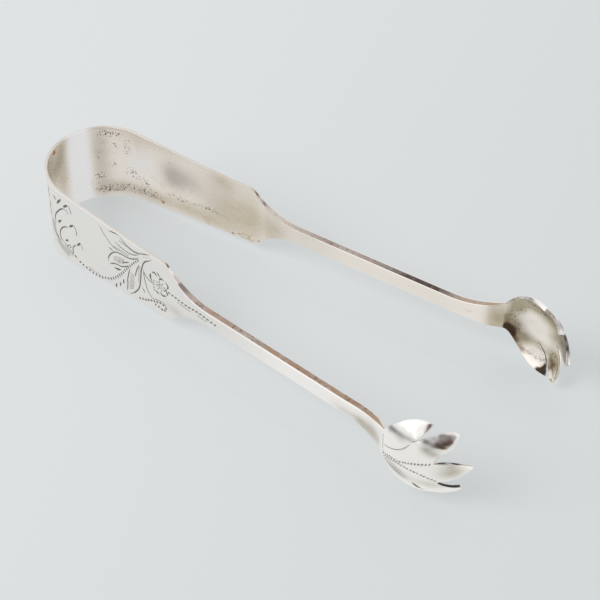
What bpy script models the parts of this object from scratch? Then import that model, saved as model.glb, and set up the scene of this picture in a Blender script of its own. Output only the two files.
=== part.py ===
"""Claw-ended sugar tongs: a sprung silver bow, two arms and two five-lobed claws.

Metres, +Z up. The tongs lie on their side as on a table: X runs from the crown of the
bow to the claws, Y across the opening, and the depth of the band is upright. Each side
is drawn once, for +Y, and the other side is its mirror image.
"""

import math

import bmesh
import bpy
from mathutils import Matrix, Vector

# Bow: a thin sprung band, widest round the crown
CROWN_WIDTH = 0.0247
CROWN_FULL_ARC = 0.011
SHOULDER_WIDTH = 0.0195
BAND_THICKNESS = 0.00085
BOW_RADIUS = 0.0153
SPLAY = math.radians(4.3)
BAND_LENGTH = 0.0379
BAND_EDGE_ROUND = 0.00015

# Shoulder: a cut corner, then a hollow curve down to the arm
CORNER_ANGLE = math.radians(45)
HOLLOW_RADIUS = 0.0168
THICKENING_LENGTH = 0.009
SEAM_FROM_CORNER = 0.0042
SCARF_ANGLE = math.radians(50)
SOLDER_GAP = 0.0003

# Arms: straight bars that turn outwards and flare before the claws
ARM_WIDTH = 0.0047
ARM_THICKNESS = 0.0020
ARM_LENGTH = 0.0620
ARM_EDGE_ROUND = 0.0003
TURN_RADIUS = 0.0322
ROOT_SLOPE = math.radians(27.5)
FLARE_LENGTH = 0.0148
FLARE_POWER = 1.6
ROOT_WIDTH = 0.0084
ROOT_THICKNESS = 0.0017

# Claws: a sheet blank with five pointed lobes, raised to a hooked, cupped form.
# Blank points are (distance from the root, distance from the middle line).
CLAW_THICKNESS = 0.0009
CLAW_LENGTH = 0.0268
CLAW_HOOK = math.radians(94)
HOOK_POWER = 1.28
CUP_RADIUS = 0.0192
CUP_POWER = 0.26
EDGE_CURL_WIDTH = 0.0185
LOBE_CUP = 0.0005
LOBE_TIP_WIDTH = 0.0006
OUTER_NOTCH = (0.0105, 0.0063)
INNER_NOTCH = (0.0168, 0.0031)
SIDE_TIP = (0.0158, 0.0132)
MIDDLE_TIP = (0.0250, 0.0102)

# Fineness of the curved surfaces
ARC_STEP = 0.0016
STRAIGHT_STEP = 0.0060
NECK_STEP = 0.0012
LOBE_ROWS = 8
LOBE_COLUMNS = 4
PALM_ROWS = 9

# Lengths along the side's middle line, from the crown
ARC_LENGTH = BOW_RADIUS * (math.pi / 2 - SPLAY)
CORNER_AT = ARC_LENGTH + BAND_LENGTH
SEAM_AT = CORNER_AT + SEAM_FROM_CORNER
TURN_AT = CORNER_AT + ARM_LENGTH
ROOT_AT = TURN_AT + TURN_RADIUS * (ROOT_SLOPE - SPLAY)

SILVER_PALE = (0.80, 0.80, 0.78, 1.0)
SILVER_WARM = (0.74, 0.70, 0.64, 1.0)


def clear_scene():
    for obj in list(bpy.data.objects):
        bpy.data.objects.remove(obj, do_unlink=True)


def make_collection(name):
    collection = bpy.data.collections.new(name)
    bpy.context.scene.collection.children.link(collection)
    return collection


def silver(name, colour, roughness):
    material = bpy.data.materials.new(name)
    material.use_nodes = True
    shader = material.node_tree.nodes["Principled BSDF"]
    shader.inputs["Base Color"].default_value = colour
    shader.inputs["Metallic"].default_value = 1.0
    shader.inputs["Roughness"].default_value = roughness
    material.diffuse_color = colour
    return material


def smooth_step(value):
    t = min(max(value, 0.0), 1.0)
    return t * t * (3.0 - 2.0 * t)


def blend(first, second, share):
    return first + (second - first) * share


# The side seen from above: arc, straight, outward turn


def side_slope(s):
    """Angle of the middle line to +X at the length s from the crown."""
    if s < ARC_LENGTH:
        return math.pi / 2 - s / BOW_RADIUS
    if s < TURN_AT:
        return SPLAY
    return SPLAY + (s - TURN_AT) / TURN_RADIUS


def side_point(s):
    """Point of the middle line, in plan, at the length s from the crown."""
    arc = min(s, ARC_LENGTH)
    turned = arc / BOW_RADIUS
    x = BOW_RADIUS * (1.0 - math.cos(turned))
    y = BOW_RADIUS * math.sin(turned)
    straight = min(max(s - ARC_LENGTH, 0.0), TURN_AT - ARC_LENGTH)
    x += straight * math.cos(SPLAY)
    y += straight * math.sin(SPLAY)
    if s > TURN_AT:
        slope = side_slope(s)
        x += TURN_RADIUS * (math.sin(slope) - math.sin(SPLAY))
        y += TURN_RADIUS * (math.cos(SPLAY) - math.cos(slope))
    return Vector((x, y, 0.0))


def side_normal(s):
    slope = side_slope(s)
    return Vector((-math.sin(slope), math.cos(slope), 0.0))


# The side seen square on: width and thickness along the middle line

HOLLOW_LENGTH = HOLLOW_RADIUS * math.sin(CORNER_ANGLE)
HOLLOW_DEPTH = HOLLOW_RADIUS * (1.0 - math.cos(CORNER_ANGLE))
CUT_DEPTH = (SHOULDER_WIDTH - ARM_WIDTH) / 2 - HOLLOW_DEPTH
CUT_LENGTH = CUT_DEPTH / math.tan(CORNER_ANGLE)
NECK_END = CORNER_AT + CUT_LENGTH + HOLLOW_LENGTH


def half_width(s):
    if s <= CORNER_AT:
        taper = (s - CROWN_FULL_ARC) / (CORNER_AT - CROWN_FULL_ARC)
        taper = min(max(taper, 0.0), 1.0)
        ease = math.sin(taper * math.pi / 2) ** 1.5
        return blend(CROWN_WIDTH, SHOULDER_WIDTH, ease) / 2
    if s <= CORNER_AT + CUT_LENGTH:
        return SHOULDER_WIDTH / 2 - (s - CORNER_AT) * math.tan(CORNER_ANGLE)
    if s <= NECK_END:
        left = NECK_END - s
        return ARM_WIDTH / 2 + HOLLOW_RADIUS - math.sqrt(HOLLOW_RADIUS ** 2 - left ** 2)
    flare = max(s - (ROOT_AT - FLARE_LENGTH), 0.0) / FLARE_LENGTH
    return blend(ARM_WIDTH, ROOT_WIDTH, flare ** FLARE_POWER) / 2


def thickness(s):
    grown = smooth_step((s - CORNER_AT) / THICKENING_LENGTH + 0.15)
    bar = blend(BAND_THICKNESS, ARM_THICKNESS, grown)
    thinned = smooth_step((s - ROOT_AT + FLARE_LENGTH) / FLARE_LENGTH)
    return blend(bar, ROOT_THICKNESS, thinned)


def steps(start, end, step):
    """Even stations after start, up to and with end."""
    count = max(1, math.ceil((end - start) / step - 1e-6))
    return [start + (end - start) * (i + 1) / count for i in range(count)]


# Strips: a grid along the middle line, given its thickness and rounded edges


def strip_mesh(name, stations, columns):
    """Open strip with a vertex group that holds the thickness at each station."""
    bm = bmesh.new()
    last = len(stations) - 1
    bmesh.ops.create_grid(bm, x_segments=last, y_segments=columns, size=1.0)
    gauge = []
    for vert in bm.verts:
        s = stations[round((vert.co.x + 1.0) / 2.0 * last)]
        gauge.append(thickness(s) / ARM_THICKNESS)
        vert.co = side_point(s) + Vector((0.0, 0.0, vert.co.y * half_width(s)))
    mesh = bpy.data.meshes.new(name)
    bm.to_mesh(mesh)
    bm.free()
    return mesh, gauge


def strip_object(name, stations, columns, mirrored, edge_round, edge_segments):
    mesh, gauge = strip_mesh(name, stations, columns)
    obj = bpy.data.objects.new(name, mesh)
    parts.objects.link(obj)
    group = obj.vertex_groups.new(name="gauge")
    for index, weight in enumerate(gauge):
        group.add([index], weight, "REPLACE")
    if mirrored:
        mirror = obj.modifiers.new("Mirror", "MIRROR")
        mirror.use_axis = (False, True, False)
        mirror.merge_threshold = 0.00001
    solid = obj.modifiers.new("Thickness", "SOLIDIFY")
    solid.thickness = ARM_THICKNESS
    solid.offset = 0.0
    solid.vertex_group = group.name
    bevel = obj.modifiers.new("Rounded edges", "BEVEL")
    bevel.width = edge_round
    bevel.segments = edge_segments
    bevel.limit_method = "ANGLE"
    bevel.angle_limit = math.radians(50)
    return obj


def realise(obj):
    """Replace an object's mesh by its evaluated one, and drop the modifiers."""
    graph = bpy.context.evaluated_depsgraph_get()
    mesh = bpy.data.meshes.new_from_object(obj.evaluated_get(graph))
    obj.modifiers.clear()
    obj.data = mesh
    mesh.name = obj.name


def cut_off(obj, point, normal):
    """Remove what lies past a plane, on its normal's side, and close the cut."""
    bm = bmesh.new()
    bm.from_mesh(obj.data)
    geometry = bm.verts[:] + bm.edges[:] + bm.faces[:]
    bmesh.ops.bisect_plane(
        bm, geom=geometry, dist=1e-7, plane_co=point, plane_no=normal, clear_outer=True
    )
    rim = [edge for edge in bm.edges if edge.is_boundary]
    bmesh.ops.holes_fill(bm, edges=rim)
    bmesh.ops.recalc_face_normals(bm, faces=bm.faces)
    bm.to_mesh(obj.data)
    bm.free()


def scarf_plane(side):
    """Point and normal of the slanted solder seam; the normal points to the claw."""
    along = side_slope(SEAM_AT) + math.pi / 2 - SCARF_ANGLE
    normal = Vector((math.cos(along), math.sin(along), 0.0))
    point = side_point(SEAM_AT)
    return Vector((point.x, side * point.y, 0.0)), Vector((normal.x, side * normal.y, 0.0))


def finish(obj, material):
    obj.data.materials.clear()
    obj.data.materials.append(material)
    obj.data.shade_smooth()
    obj.data.set_sharp_from_angle(angle=math.radians(32))


def mirrored_copy(obj, name):
    """The same piece for the -Y side."""
    mesh = obj.data.copy()
    mesh.name = name
    mesh.transform(Matrix.Scale(-1.0, 4, (0.0, 1.0, 0.0)))
    mesh.flip_normals()
    copy = bpy.data.objects.new(name, mesh)
    parts.objects.link(copy)
    return copy


# Bow


def make_bow():
    overrun = ARM_THICKNESS / math.tan(SCARF_ANGLE)
    stations = [0.0]
    stations += steps(0.0, ARC_LENGTH, ARC_STEP)
    stations += steps(ARC_LENGTH, CORNER_AT, STRAIGHT_STEP)
    stations += steps(CORNER_AT, CORNER_AT + CUT_LENGTH, NECK_STEP)
    stations += steps(CORNER_AT + CUT_LENGTH, SEAM_AT + overrun, NECK_STEP)
    bow = strip_object("bow_spring", stations, 4, True, BAND_EDGE_ROUND, 1)
    realise(bow)
    for side in (1, -1):
        point, normal = scarf_plane(side)
        cut_off(bow, point - normal * SOLDER_GAP / 2, normal)
    return bow


# Arms


def make_arm():
    overrun = ARM_THICKNESS / math.tan(SCARF_ANGLE)
    start = SEAM_AT - overrun
    flare_at = ROOT_AT - FLARE_LENGTH
    stations = [start]
    stations += steps(start, NECK_END, NECK_STEP)
    stations += steps(NECK_END, flare_at, STRAIGHT_STEP)
    stations += steps(flare_at, ROOT_AT, ARC_STEP)
    arm = strip_object("far_arm", stations, 2, False, ARM_EDGE_ROUND, 2)
    realise(arm)
    point, normal = scarf_plane(1)
    cut_off(arm, point + normal * SOLDER_GAP / 2, -normal)
    return arm


# Claws


def cup_angle(u, v):
    """How far the sheet is turned across, at a blank point; it curls more at its edges."""
    radius = CUP_RADIUS * (CLAW_LENGTH / max(u, 0.001)) ** CUP_POWER
    return v / radius * (1.0 + (v / EDGE_CURL_WIDTH) ** 2)


def raised(u, v, inset):
    """Carry a blank point onto the raised claw; inset moves it to the hollow side.

    The middle line bends towards the other claw, more and more to its tip, and the
    sheet is cupped across it. Lengths along the sheet stay as they are in the blank.
    """
    pieces = 24
    point = side_point(ROOT_AT) + side_normal(ROOT_AT) * ROOT_THICKNESS / 2
    for i in range(pieces):
        t = (i + 0.5) / pieces * u / CLAW_LENGTH
        slope = ROOT_SLOPE - CLAW_HOOK * t ** HOOK_POWER
        point += Vector((math.cos(slope), math.sin(slope), 0.0)) * u / pieces
    slope = ROOT_SLOPE - CLAW_HOOK * (u / CLAW_LENGTH) ** HOOK_POWER
    outward = Vector((-math.sin(slope), math.cos(slope), 0.0))
    drop = inset * math.cos(cup_angle(u, v))
    rise = -inset * math.sin(cup_angle(u, v))
    for i in range(pieces):
        angle = cup_angle(u, v * (i + 0.5) / pieces)
        drop += math.sin(angle) * v / pieces
        rise += math.cos(angle) * v / pieces
    return point - outward * drop + Vector((0.0, 0.0, rise))


def bezier(points, t):
    """Point of the Bezier curve with these control points."""
    points = [Vector(p) for p in points]
    while len(points) > 1:
        points = [a.lerp(b, t) for a, b in zip(points, points[1:])]
    return points[0]


def lobe_edges():
    """Edge curves of three lobes, each (edge away from the middle, edge near it).

    Handles are set from the notch and tip they lie between, so that the lobes keep
    their pointed, full-sided form when a tip or a notch is moved.
    """
    root = (SOLDER_GAP, ROOT_WIDTH / 2)
    side_out = [
        root,
        (blend(root[0], SIDE_TIP[0], 0.11), blend(root[1], SIDE_TIP[1], 0.10)),
        (blend(root[0], SIDE_TIP[0], 0.32), blend(root[1], SIDE_TIP[1], 1.20)),
        SIDE_TIP,
    ]
    side_in = [
        OUTER_NOTCH,
        (blend(OUTER_NOTCH[0], SIDE_TIP[0], 0.42), blend(OUTER_NOTCH[1], SIDE_TIP[1], 0.45)),
        SIDE_TIP,
    ]
    middle_out = [
        OUTER_NOTCH,
        (blend(OUTER_NOTCH[0], MIDDLE_TIP[0], 0.16), blend(OUTER_NOTCH[1], MIDDLE_TIP[1], 0.66)),
        (blend(OUTER_NOTCH[0], MIDDLE_TIP[0], 0.61), blend(OUTER_NOTCH[1], MIDDLE_TIP[1], 2.27)),
        MIDDLE_TIP,
    ]
    middle_in = [
        INNER_NOTCH,
        (blend(INNER_NOTCH[0], MIDDLE_TIP[0], 0.23), blend(INNER_NOTCH[1], MIDDLE_TIP[1], 0.37)),
        (blend(INNER_NOTCH[0], MIDDLE_TIP[0], 0.71), blend(INNER_NOTCH[1], MIDDLE_TIP[1], 0.43)),
        MIDDLE_TIP,
    ]
    centre_tip = (CLAW_LENGTH, 0.0)
    centre_out = [
        INNER_NOTCH,
        (blend(INNER_NOTCH[0], CLAW_LENGTH, 0.22), INNER_NOTCH[1] * 1.42),
        (blend(INNER_NOTCH[0], CLAW_LENGTH, 0.64), INNER_NOTCH[1] * 1.04),
        centre_tip,
    ]
    centre_in = [(u, -v) for u, v in centre_out]
    return (side_out, side_in), (middle_out, middle_in), (centre_out, centre_in)


def lobe_grid(bm, outer, inner, columns, rows, flip):
    """One lobe as a grid between its two edge curves, cupped towards its tip."""
    tip = Vector(outer[-1])
    base = Vector(outer[0]).lerp(Vector(inner[0]), 0.5)
    across = Vector((tip.y - base.y, base.x - tip.x)).normalized()
    grid = []
    for j in range(rows + 1):
        q = j / rows
        reach = 1.0 - (1.0 - q) ** 1.4
        line = []
        for i in range(columns + 1):
            p = i / columns
            spot = bezier(outer, reach).lerp(bezier(inner, reach), p)
            spot += across * (p - 0.5) * LOBE_TIP_WIDTH * q ** 3
            cup = LOBE_CUP * q * (2.0 * p - 1.0) ** 2
            v = -spot.y if flip else spot.y
            line.append(bm.verts.new(raised(min(spot.x, tip.x), v, cup)))
        grid.append(line)
    fill_grid(bm, grid)


def palm_grid(bm):
    """The claw's undivided part, from the root line to the notches."""
    notches = [OUTER_NOTCH, INNER_NOTCH]
    notches += [(u, -v) for u, v in reversed(notches)]
    far_line = []
    for first, second in zip(notches, notches[1:]):
        for i in range(LOBE_COLUMNS):
            far_line.append(Vector(first).lerp(Vector(second), i / LOBE_COLUMNS))
    far_line.append(Vector(notches[-1]))
    last = len(far_line) - 1
    grid = []
    for j in range(PALM_ROWS + 1):
        line = []
        for i, end in enumerate(far_line):
            start = Vector((SOLDER_GAP, ROOT_WIDTH * (0.5 - i / last)))
            spot = start.lerp(end, j / PALM_ROWS)
            line.append(bm.verts.new(raised(spot.x, spot.y, 0.0)))
        grid.append(line)
    fill_grid(bm, grid)


def fill_grid(bm, grid):
    for lower, upper in zip(grid, grid[1:]):
        for i in range(len(lower) - 1):
            bm.faces.new((lower[i], lower[i + 1], upper[i + 1], upper[i]))


def make_claw():
    side, middle, centre = lobe_edges()
    bm = bmesh.new()
    palm_grid(bm)
    for flip in (False, True):
        lobe_grid(bm, *side, PALM_ROWS, LOBE_ROWS, flip)
        lobe_grid(bm, *middle, LOBE_COLUMNS, LOBE_ROWS, flip)
    lobe_grid(bm, *centre, LOBE_COLUMNS, LOBE_ROWS, False)
    bmesh.ops.remove_doubles(bm, verts=bm.verts, dist=0.00001)
    bmesh.ops.recalc_face_normals(bm, faces=bm.faces)
    bm.faces.ensure_lookup_table()
    if bm.faces[0].normal.y < 0.0:
        bmesh.ops.reverse_faces(bm, faces=bm.faces)
    mesh = bpy.data.meshes.new("far_claw")
    bm.to_mesh(mesh)
    bm.free()
    claw = bpy.data.objects.new("far_claw", mesh)
    parts.objects.link(claw)
    solid = claw.modifiers.new("Sheet", "SOLIDIFY")
    solid.thickness = CLAW_THICKNESS
    solid.offset = -1.0
    solid.use_even_offset = True
    realise(claw)
    return claw


# Placing: hinge points, rest on the table, origin


def flexure_pivot():
    """Where a side seems to turn when its half of the bow springs: the arc's centroid."""
    half_angle = (math.pi / 2 - SPLAY) / 2
    reach = BOW_RADIUS * math.sin(half_angle) / half_angle
    return Vector((BOW_RADIUS - reach * math.cos(half_angle), reach * math.sin(half_angle), 0.0))


def rest_tilt(claw):
    """Slope of the tongs when the crown and the lowest lobes both touch the table."""
    lowest = max(claw.data.vertices, key=lambda vert: vert.co.z)
    return math.atan2(lowest.co.z - CROWN_WIDTH / 2, lowest.co.x)


def carry(frame, pivot_name, side, pieces):
    """Hang one side's pieces on an empty at its flexure pivot."""
    pivot = flexure_pivot()
    empty = bpy.data.objects.new(pivot_name, None)
    empty.empty_display_size = 0.01
    parts.objects.link(empty)
    empty.parent = frame
    empty.location = (pivot.x, side * pivot.y, 0.0)
    for piece in pieces:
        piece.data.transform(Matrix.Translation(-empty.location))
        piece.parent = empty


def centre_on_table(frame, pieces):
    """Put the origin on the table, under the middle of the tongs."""
    bpy.context.view_layer.update()
    corners = [obj.matrix_world @ vert.co for obj in pieces for vert in obj.data.vertices]
    low_x = min(corner.x for corner in corners)
    high_x = max(corner.x for corner in corners)
    frame.location.x -= (low_x + high_x) / 2
    frame.location.z -= min(corner.z for corner in corners)
    bpy.context.view_layer.update()


clear_scene()
parts = make_collection("sugar_tongs")

band_silver = silver("band_silver", SILVER_PALE, 0.24)
arm_silver = silver("arm_silver", SILVER_WARM, 0.28)
claw_silver = silver("claw_silver", SILVER_PALE, 0.18)

bow_spring = make_bow()
far_arm = make_arm()
far_claw = make_claw()
near_arm = mirrored_copy(far_arm, "near_arm")
near_claw = mirrored_copy(far_claw, "near_claw")

finish(bow_spring, band_silver)
finish(far_arm, arm_silver)
finish(near_arm, arm_silver)
finish(far_claw, claw_silver)
finish(near_claw, claw_silver)

tongs = bpy.data.objects.new("tongs_frame", None)
parts.objects.link(tongs)
tongs.rotation_euler.y = -rest_tilt(far_claw)
bow_spring.parent = tongs
carry(tongs, "far_pivot", 1, (far_arm, far_claw))
carry(tongs, "near_pivot", -1, (near_arm, near_claw))
centre_on_table(tongs, (bow_spring, far_arm, near_arm, far_claw, near_claw))
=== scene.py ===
"""Sugar tongs with claw ends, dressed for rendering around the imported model.

Metres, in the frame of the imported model. The band, the arms and the claws are drawn again
from the same sizes as the solids, with a finer surface, rounded edges and engraved lines.
Each side is drawn for +Y, and the near side is its mirror image.
"""

import math
from functools import partial

import bmesh
import bpy
import numpy as np
from mathutils import Matrix, Vector
from mathutils.kdtree import KDTree


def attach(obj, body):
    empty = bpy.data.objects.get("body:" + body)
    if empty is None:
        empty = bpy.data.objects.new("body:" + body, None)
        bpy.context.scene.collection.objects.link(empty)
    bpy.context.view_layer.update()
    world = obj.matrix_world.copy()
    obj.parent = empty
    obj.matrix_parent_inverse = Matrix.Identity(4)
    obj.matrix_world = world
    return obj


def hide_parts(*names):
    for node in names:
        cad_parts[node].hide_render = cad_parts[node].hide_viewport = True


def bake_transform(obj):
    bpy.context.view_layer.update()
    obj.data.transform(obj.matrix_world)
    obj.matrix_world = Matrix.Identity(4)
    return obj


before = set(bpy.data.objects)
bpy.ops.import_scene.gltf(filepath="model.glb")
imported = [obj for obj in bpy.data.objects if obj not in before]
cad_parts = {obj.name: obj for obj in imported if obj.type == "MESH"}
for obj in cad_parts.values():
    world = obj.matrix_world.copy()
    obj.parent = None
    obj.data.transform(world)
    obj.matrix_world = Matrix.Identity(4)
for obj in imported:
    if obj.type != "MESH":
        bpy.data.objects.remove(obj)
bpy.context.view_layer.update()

# The same sizes as the solids
CROWN_WIDTH = 0.0247
CROWN_FULL_ARC = 0.011
TAPER_POWER = 1.5
SHOULDER_WIDTH = 0.0195
BAND_THICKNESS = 0.00085
BOW_RADIUS = 0.0153
SPLAY = math.radians(4.3)
BAND_LENGTH = 0.0379
CORNER_ANGLE = math.radians(45)
HOLLOW_RADIUS = 0.0168
THICKENING_LENGTH = 0.009
THICKENING_LEAD = 0.15
SEAM_FROM_CORNER = 0.0042
ARM_WIDTH = 0.0047
ARM_THICKNESS = 0.0020
ARM_LENGTH = 0.0620
TURN_RADIUS = 0.0322
ROOT_SLOPE = math.radians(27.5)
FLARE_LENGTH = 0.0148
FLARE_POWER = 1.6
ROOT_WIDTH = 0.0084
ROOT_THICKNESS = 0.0017
CLAW_THICKNESS = 0.0009
CLAW_LENGTH = 0.0268
CLAW_HOOK = math.radians(94)
HOOK_POWER = 1.28
CUP_RADIUS = 0.0192
CUP_POWER = 0.26
EDGE_CURL_WIDTH = 0.0185
LOBE_CUP = 0.0005

# Finish of the visible surface
BAND_EDGE_ROUND = 0.00011
ARM_EDGE_ROUND = 0.00024
ARM_CROWNING = 0.00010
INNER_CROWNING = 0.3
CLAW_EDGE_ROUND = 0.00030
LOBE_TIP_WIDTH = 0.00036
CUT_SCALE = 1.3
HATCH_CUT = (0.17, 0.03)
DIRTY_DEPTH = 0.00002
POLISH_LEAD = 0.004
POLISH_LENGTH = 0.030
ROOT_BLEND = 0.0045
HAMMER_DEPTH = 0.000012
HAMMER_START = 0.004
MOST_ROUNDING = 0.45
LOBE_FULLNESS = 1.4
END_CROWDING = 0.85

# Fineness of the drawn surface: steps along the sides, rows and columns of the claws, and
# the steps of the engraving in millimetres
FINE_STEP = 0.00013
COARSE_STEP = 0.00060
FLARE_STEP = 0.0003
PALM_ROWS, LOBE_COLUMNS = 96, 36
SIDE_LOBE_ROWS, MIDDLE_LOBE_ROWS, CENTRE_LOBE_ROWS = 72, 84, 64
JOIN_WITHIN = 0.000004
AT_ROOT = 0.00001
CURVE_STEPS = 12
ROOT_CUP_STEPS, CLAW_CUP_STEPS = 12, 24
LINE_STEP, CUT_STEP = 0.2, 0.12

# Where the tongs lie: the middle of the crown, and the small tilt on the lowest lobes
CROWN_AT = (-0.0742212, 0.0, 0.0123612)
REST_TILT = 0.00297067
PLACE = Matrix.Translation(CROWN_AT) @ Matrix.Rotation(REST_TILT, 4, "Y")

ARC_LENGTH = BOW_RADIUS * (math.pi / 2 - SPLAY)
CORNER_AT = ARC_LENGTH + BAND_LENGTH
SEAM_AT = CORNER_AT + SEAM_FROM_CORNER
TURN_AT = CORNER_AT + ARM_LENGTH
ROOT_AT = TURN_AT + TURN_RADIUS * (ROOT_SLOPE - SPLAY)
HOLLOW_LENGTH = HOLLOW_RADIUS * math.sin(CORNER_ANGLE)
HOLLOW_DEPTH = HOLLOW_RADIUS * (1.0 - math.cos(CORNER_ANGLE))
CUT_DEPTH = (SHOULDER_WIDTH - ARM_WIDTH) / 2 - HOLLOW_DEPTH
CUT_LENGTH = CUT_DEPTH / math.tan(CORNER_ANGLE)
NECK_END = CORNER_AT + CUT_LENGTH + HOLLOW_LENGTH


def smooth_step(value):
    t = np.clip(value, 0.0, 1.0)
    return t * t * (3.0 - 2.0 * t)


def mix(first, second, share):
    return first + (second - first) * share


# The side's middle line, width and thickness, for arrays of lengths from the crown


def side_slope(s):
    slope = np.where(s < ARC_LENGTH, math.pi / 2 - s / BOW_RADIUS, SPLAY)
    return np.where(s < TURN_AT, slope, SPLAY + (s - TURN_AT) / TURN_RADIUS)


def side_point(s):
    turned = np.minimum(s, ARC_LENGTH) / BOW_RADIUS
    straight = np.clip(s - ARC_LENGTH, 0.0, TURN_AT - ARC_LENGTH)
    x = BOW_RADIUS * (1.0 - np.cos(turned)) + straight * math.cos(SPLAY)
    y = BOW_RADIUS * np.sin(turned) + straight * math.sin(SPLAY)
    slope = np.maximum(side_slope(np.maximum(s, TURN_AT)), SPLAY)
    x = x + TURN_RADIUS * (np.sin(slope) - math.sin(SPLAY))
    y = y + TURN_RADIUS * (math.cos(SPLAY) - np.cos(slope))
    return x, y


def half_width(s):
    taper = np.clip((s - CROWN_FULL_ARC) / (CORNER_AT - CROWN_FULL_ARC), 0.0, 1.0)
    ease = np.sin(taper * math.pi / 2) ** TAPER_POWER
    band = mix(CROWN_WIDTH, SHOULDER_WIDTH, ease) / 2
    cut = SHOULDER_WIDTH / 2 - (s - CORNER_AT) * math.tan(CORNER_ANGLE)
    left = np.clip(NECK_END - s, 0.0, HOLLOW_RADIUS)
    neck = ARM_WIDTH / 2 + HOLLOW_RADIUS - np.sqrt(HOLLOW_RADIUS ** 2 - left ** 2)
    flare = np.clip(s - (ROOT_AT - FLARE_LENGTH), 0.0, None) / FLARE_LENGTH
    arm = mix(ARM_WIDTH, ROOT_WIDTH, flare ** FLARE_POWER) / 2
    shoulder = np.where(s <= CORNER_AT + CUT_LENGTH, cut, np.where(s <= NECK_END, neck, arm))
    return np.where(s <= CORNER_AT, band, shoulder)


def thickness(s):
    grown = smooth_step((s - CORNER_AT) / THICKENING_LENGTH + THICKENING_LEAD)
    bar = mix(BAND_THICKNESS, ARM_THICKNESS, grown)
    thinned = smooth_step((s - ROOT_AT + FLARE_LENGTH) / FLARE_LENGTH)
    return mix(bar, ROOT_THICKNESS, thinned)


# Engraving: strokes are lists of (place, width, depth) along smoothed paths. A place is
# (length from the crown, height over the middle) in millimetres, or a claw's blank point.


def curve_through(points, spacing):
    """Evenly spaced points of a smooth curve through the given ones."""
    points = np.array(points, float)
    if len(points) > 2:
        ends = np.vstack([2 * points[0] - points[1], points, 2 * points[-1] - points[-2]])
        t = np.linspace(0.0, 1.0, CURVE_STEPS, endpoint=False)[:, None]
        runs = []
        for a, b, c, d in zip(ends, ends[1:], ends[2:], ends[3:]):
            runs.append(
                0.5 * (2 * b + (c - a) * t + (2 * a - 5 * b + 4 * c - d) * t ** 2
                       + (3 * b - a - 3 * c + d) * t ** 3)
            )
        points = np.vstack(runs + [points[-1:]])
    along = np.concatenate([[0.0], np.cumsum(np.linalg.norm(np.diff(points, axis=0), axis=1))])
    count = max(2, int(round(along[-1] / spacing)) + 1)
    even = np.linspace(0.0, along[-1], count)
    return np.column_stack([np.interp(even, along, points[:, i]) for i in (0, 1)])


def line(points, width, depth=0.055):
    """A thin cut that tapers a little at both ends."""
    width, depth = width * CUT_SCALE, depth * CUT_SCALE
    path = curve_through(points, LINE_STEP)
    t = np.linspace(0.0, 1.0, len(path))
    ends = 0.45 + 0.55 * smooth_step(np.minimum(t, 1.0 - t) / 0.15)
    return path, width * ends, depth * ends


def bright_cut(points, width, depth, heavy_at=0.5):
    """A gouged cut: thin at its ends and broad where the graver went in deepest."""
    width, depth = width * CUT_SCALE, depth * CUT_SCALE
    path = curve_through(points, CUT_STEP)
    t = np.linspace(0.0, 1.0, len(path))
    bell = np.where(t < heavy_at, t / heavy_at, (1.0 - t) / (1.0 - heavy_at))
    shape = 0.25 + 0.75 * np.sin(np.clip(bell, 0.0, 1.0) * math.pi / 2)
    return path, width * shape, depth * shape


def dots(points, pitch, length, width, depth, turn=1.2):
    """A row of short pricked cuts, each at an angle to the row."""
    path = curve_through(points, pitch)
    step = np.gradient(path, axis=0)
    step /= np.linalg.norm(step, axis=1, keepdims=True)
    row = []
    for place, (x, y) in zip(path, step):
        across = (x * math.cos(turn) - y * math.sin(turn), x * math.sin(turn) + y * math.cos(turn))
        half = np.array(across) * length / 2
        row.append(bright_cut([place - half, place + half], width, depth))
    return row


def rocked(points, pitch=0.95, length=0.90, width=0.30, depth=0.09, turn=0.95):
    """Wrigglework: the graver is rocked as it goes and leaves a chain of slanting cuts."""
    return [line(points, 0.12, 0.025)] + dots(points, pitch, length, width, depth, turn)


def hatch(first, last, count, shrink):
    """Thin parallel cuts from the line first to the line last."""
    rows = []
    for i in range(count):
        t = i / max(count - 1, 1)
        a, b = mix(np.array(first), np.array(last), t)
        middle = (a + b) / 2
        trim = 1.0 - shrink * abs(2 * t - 1)
        rows.append(line([mix(middle, a, trim), mix(middle, b, trim)], *HATCH_CUT))
    return rows


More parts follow.
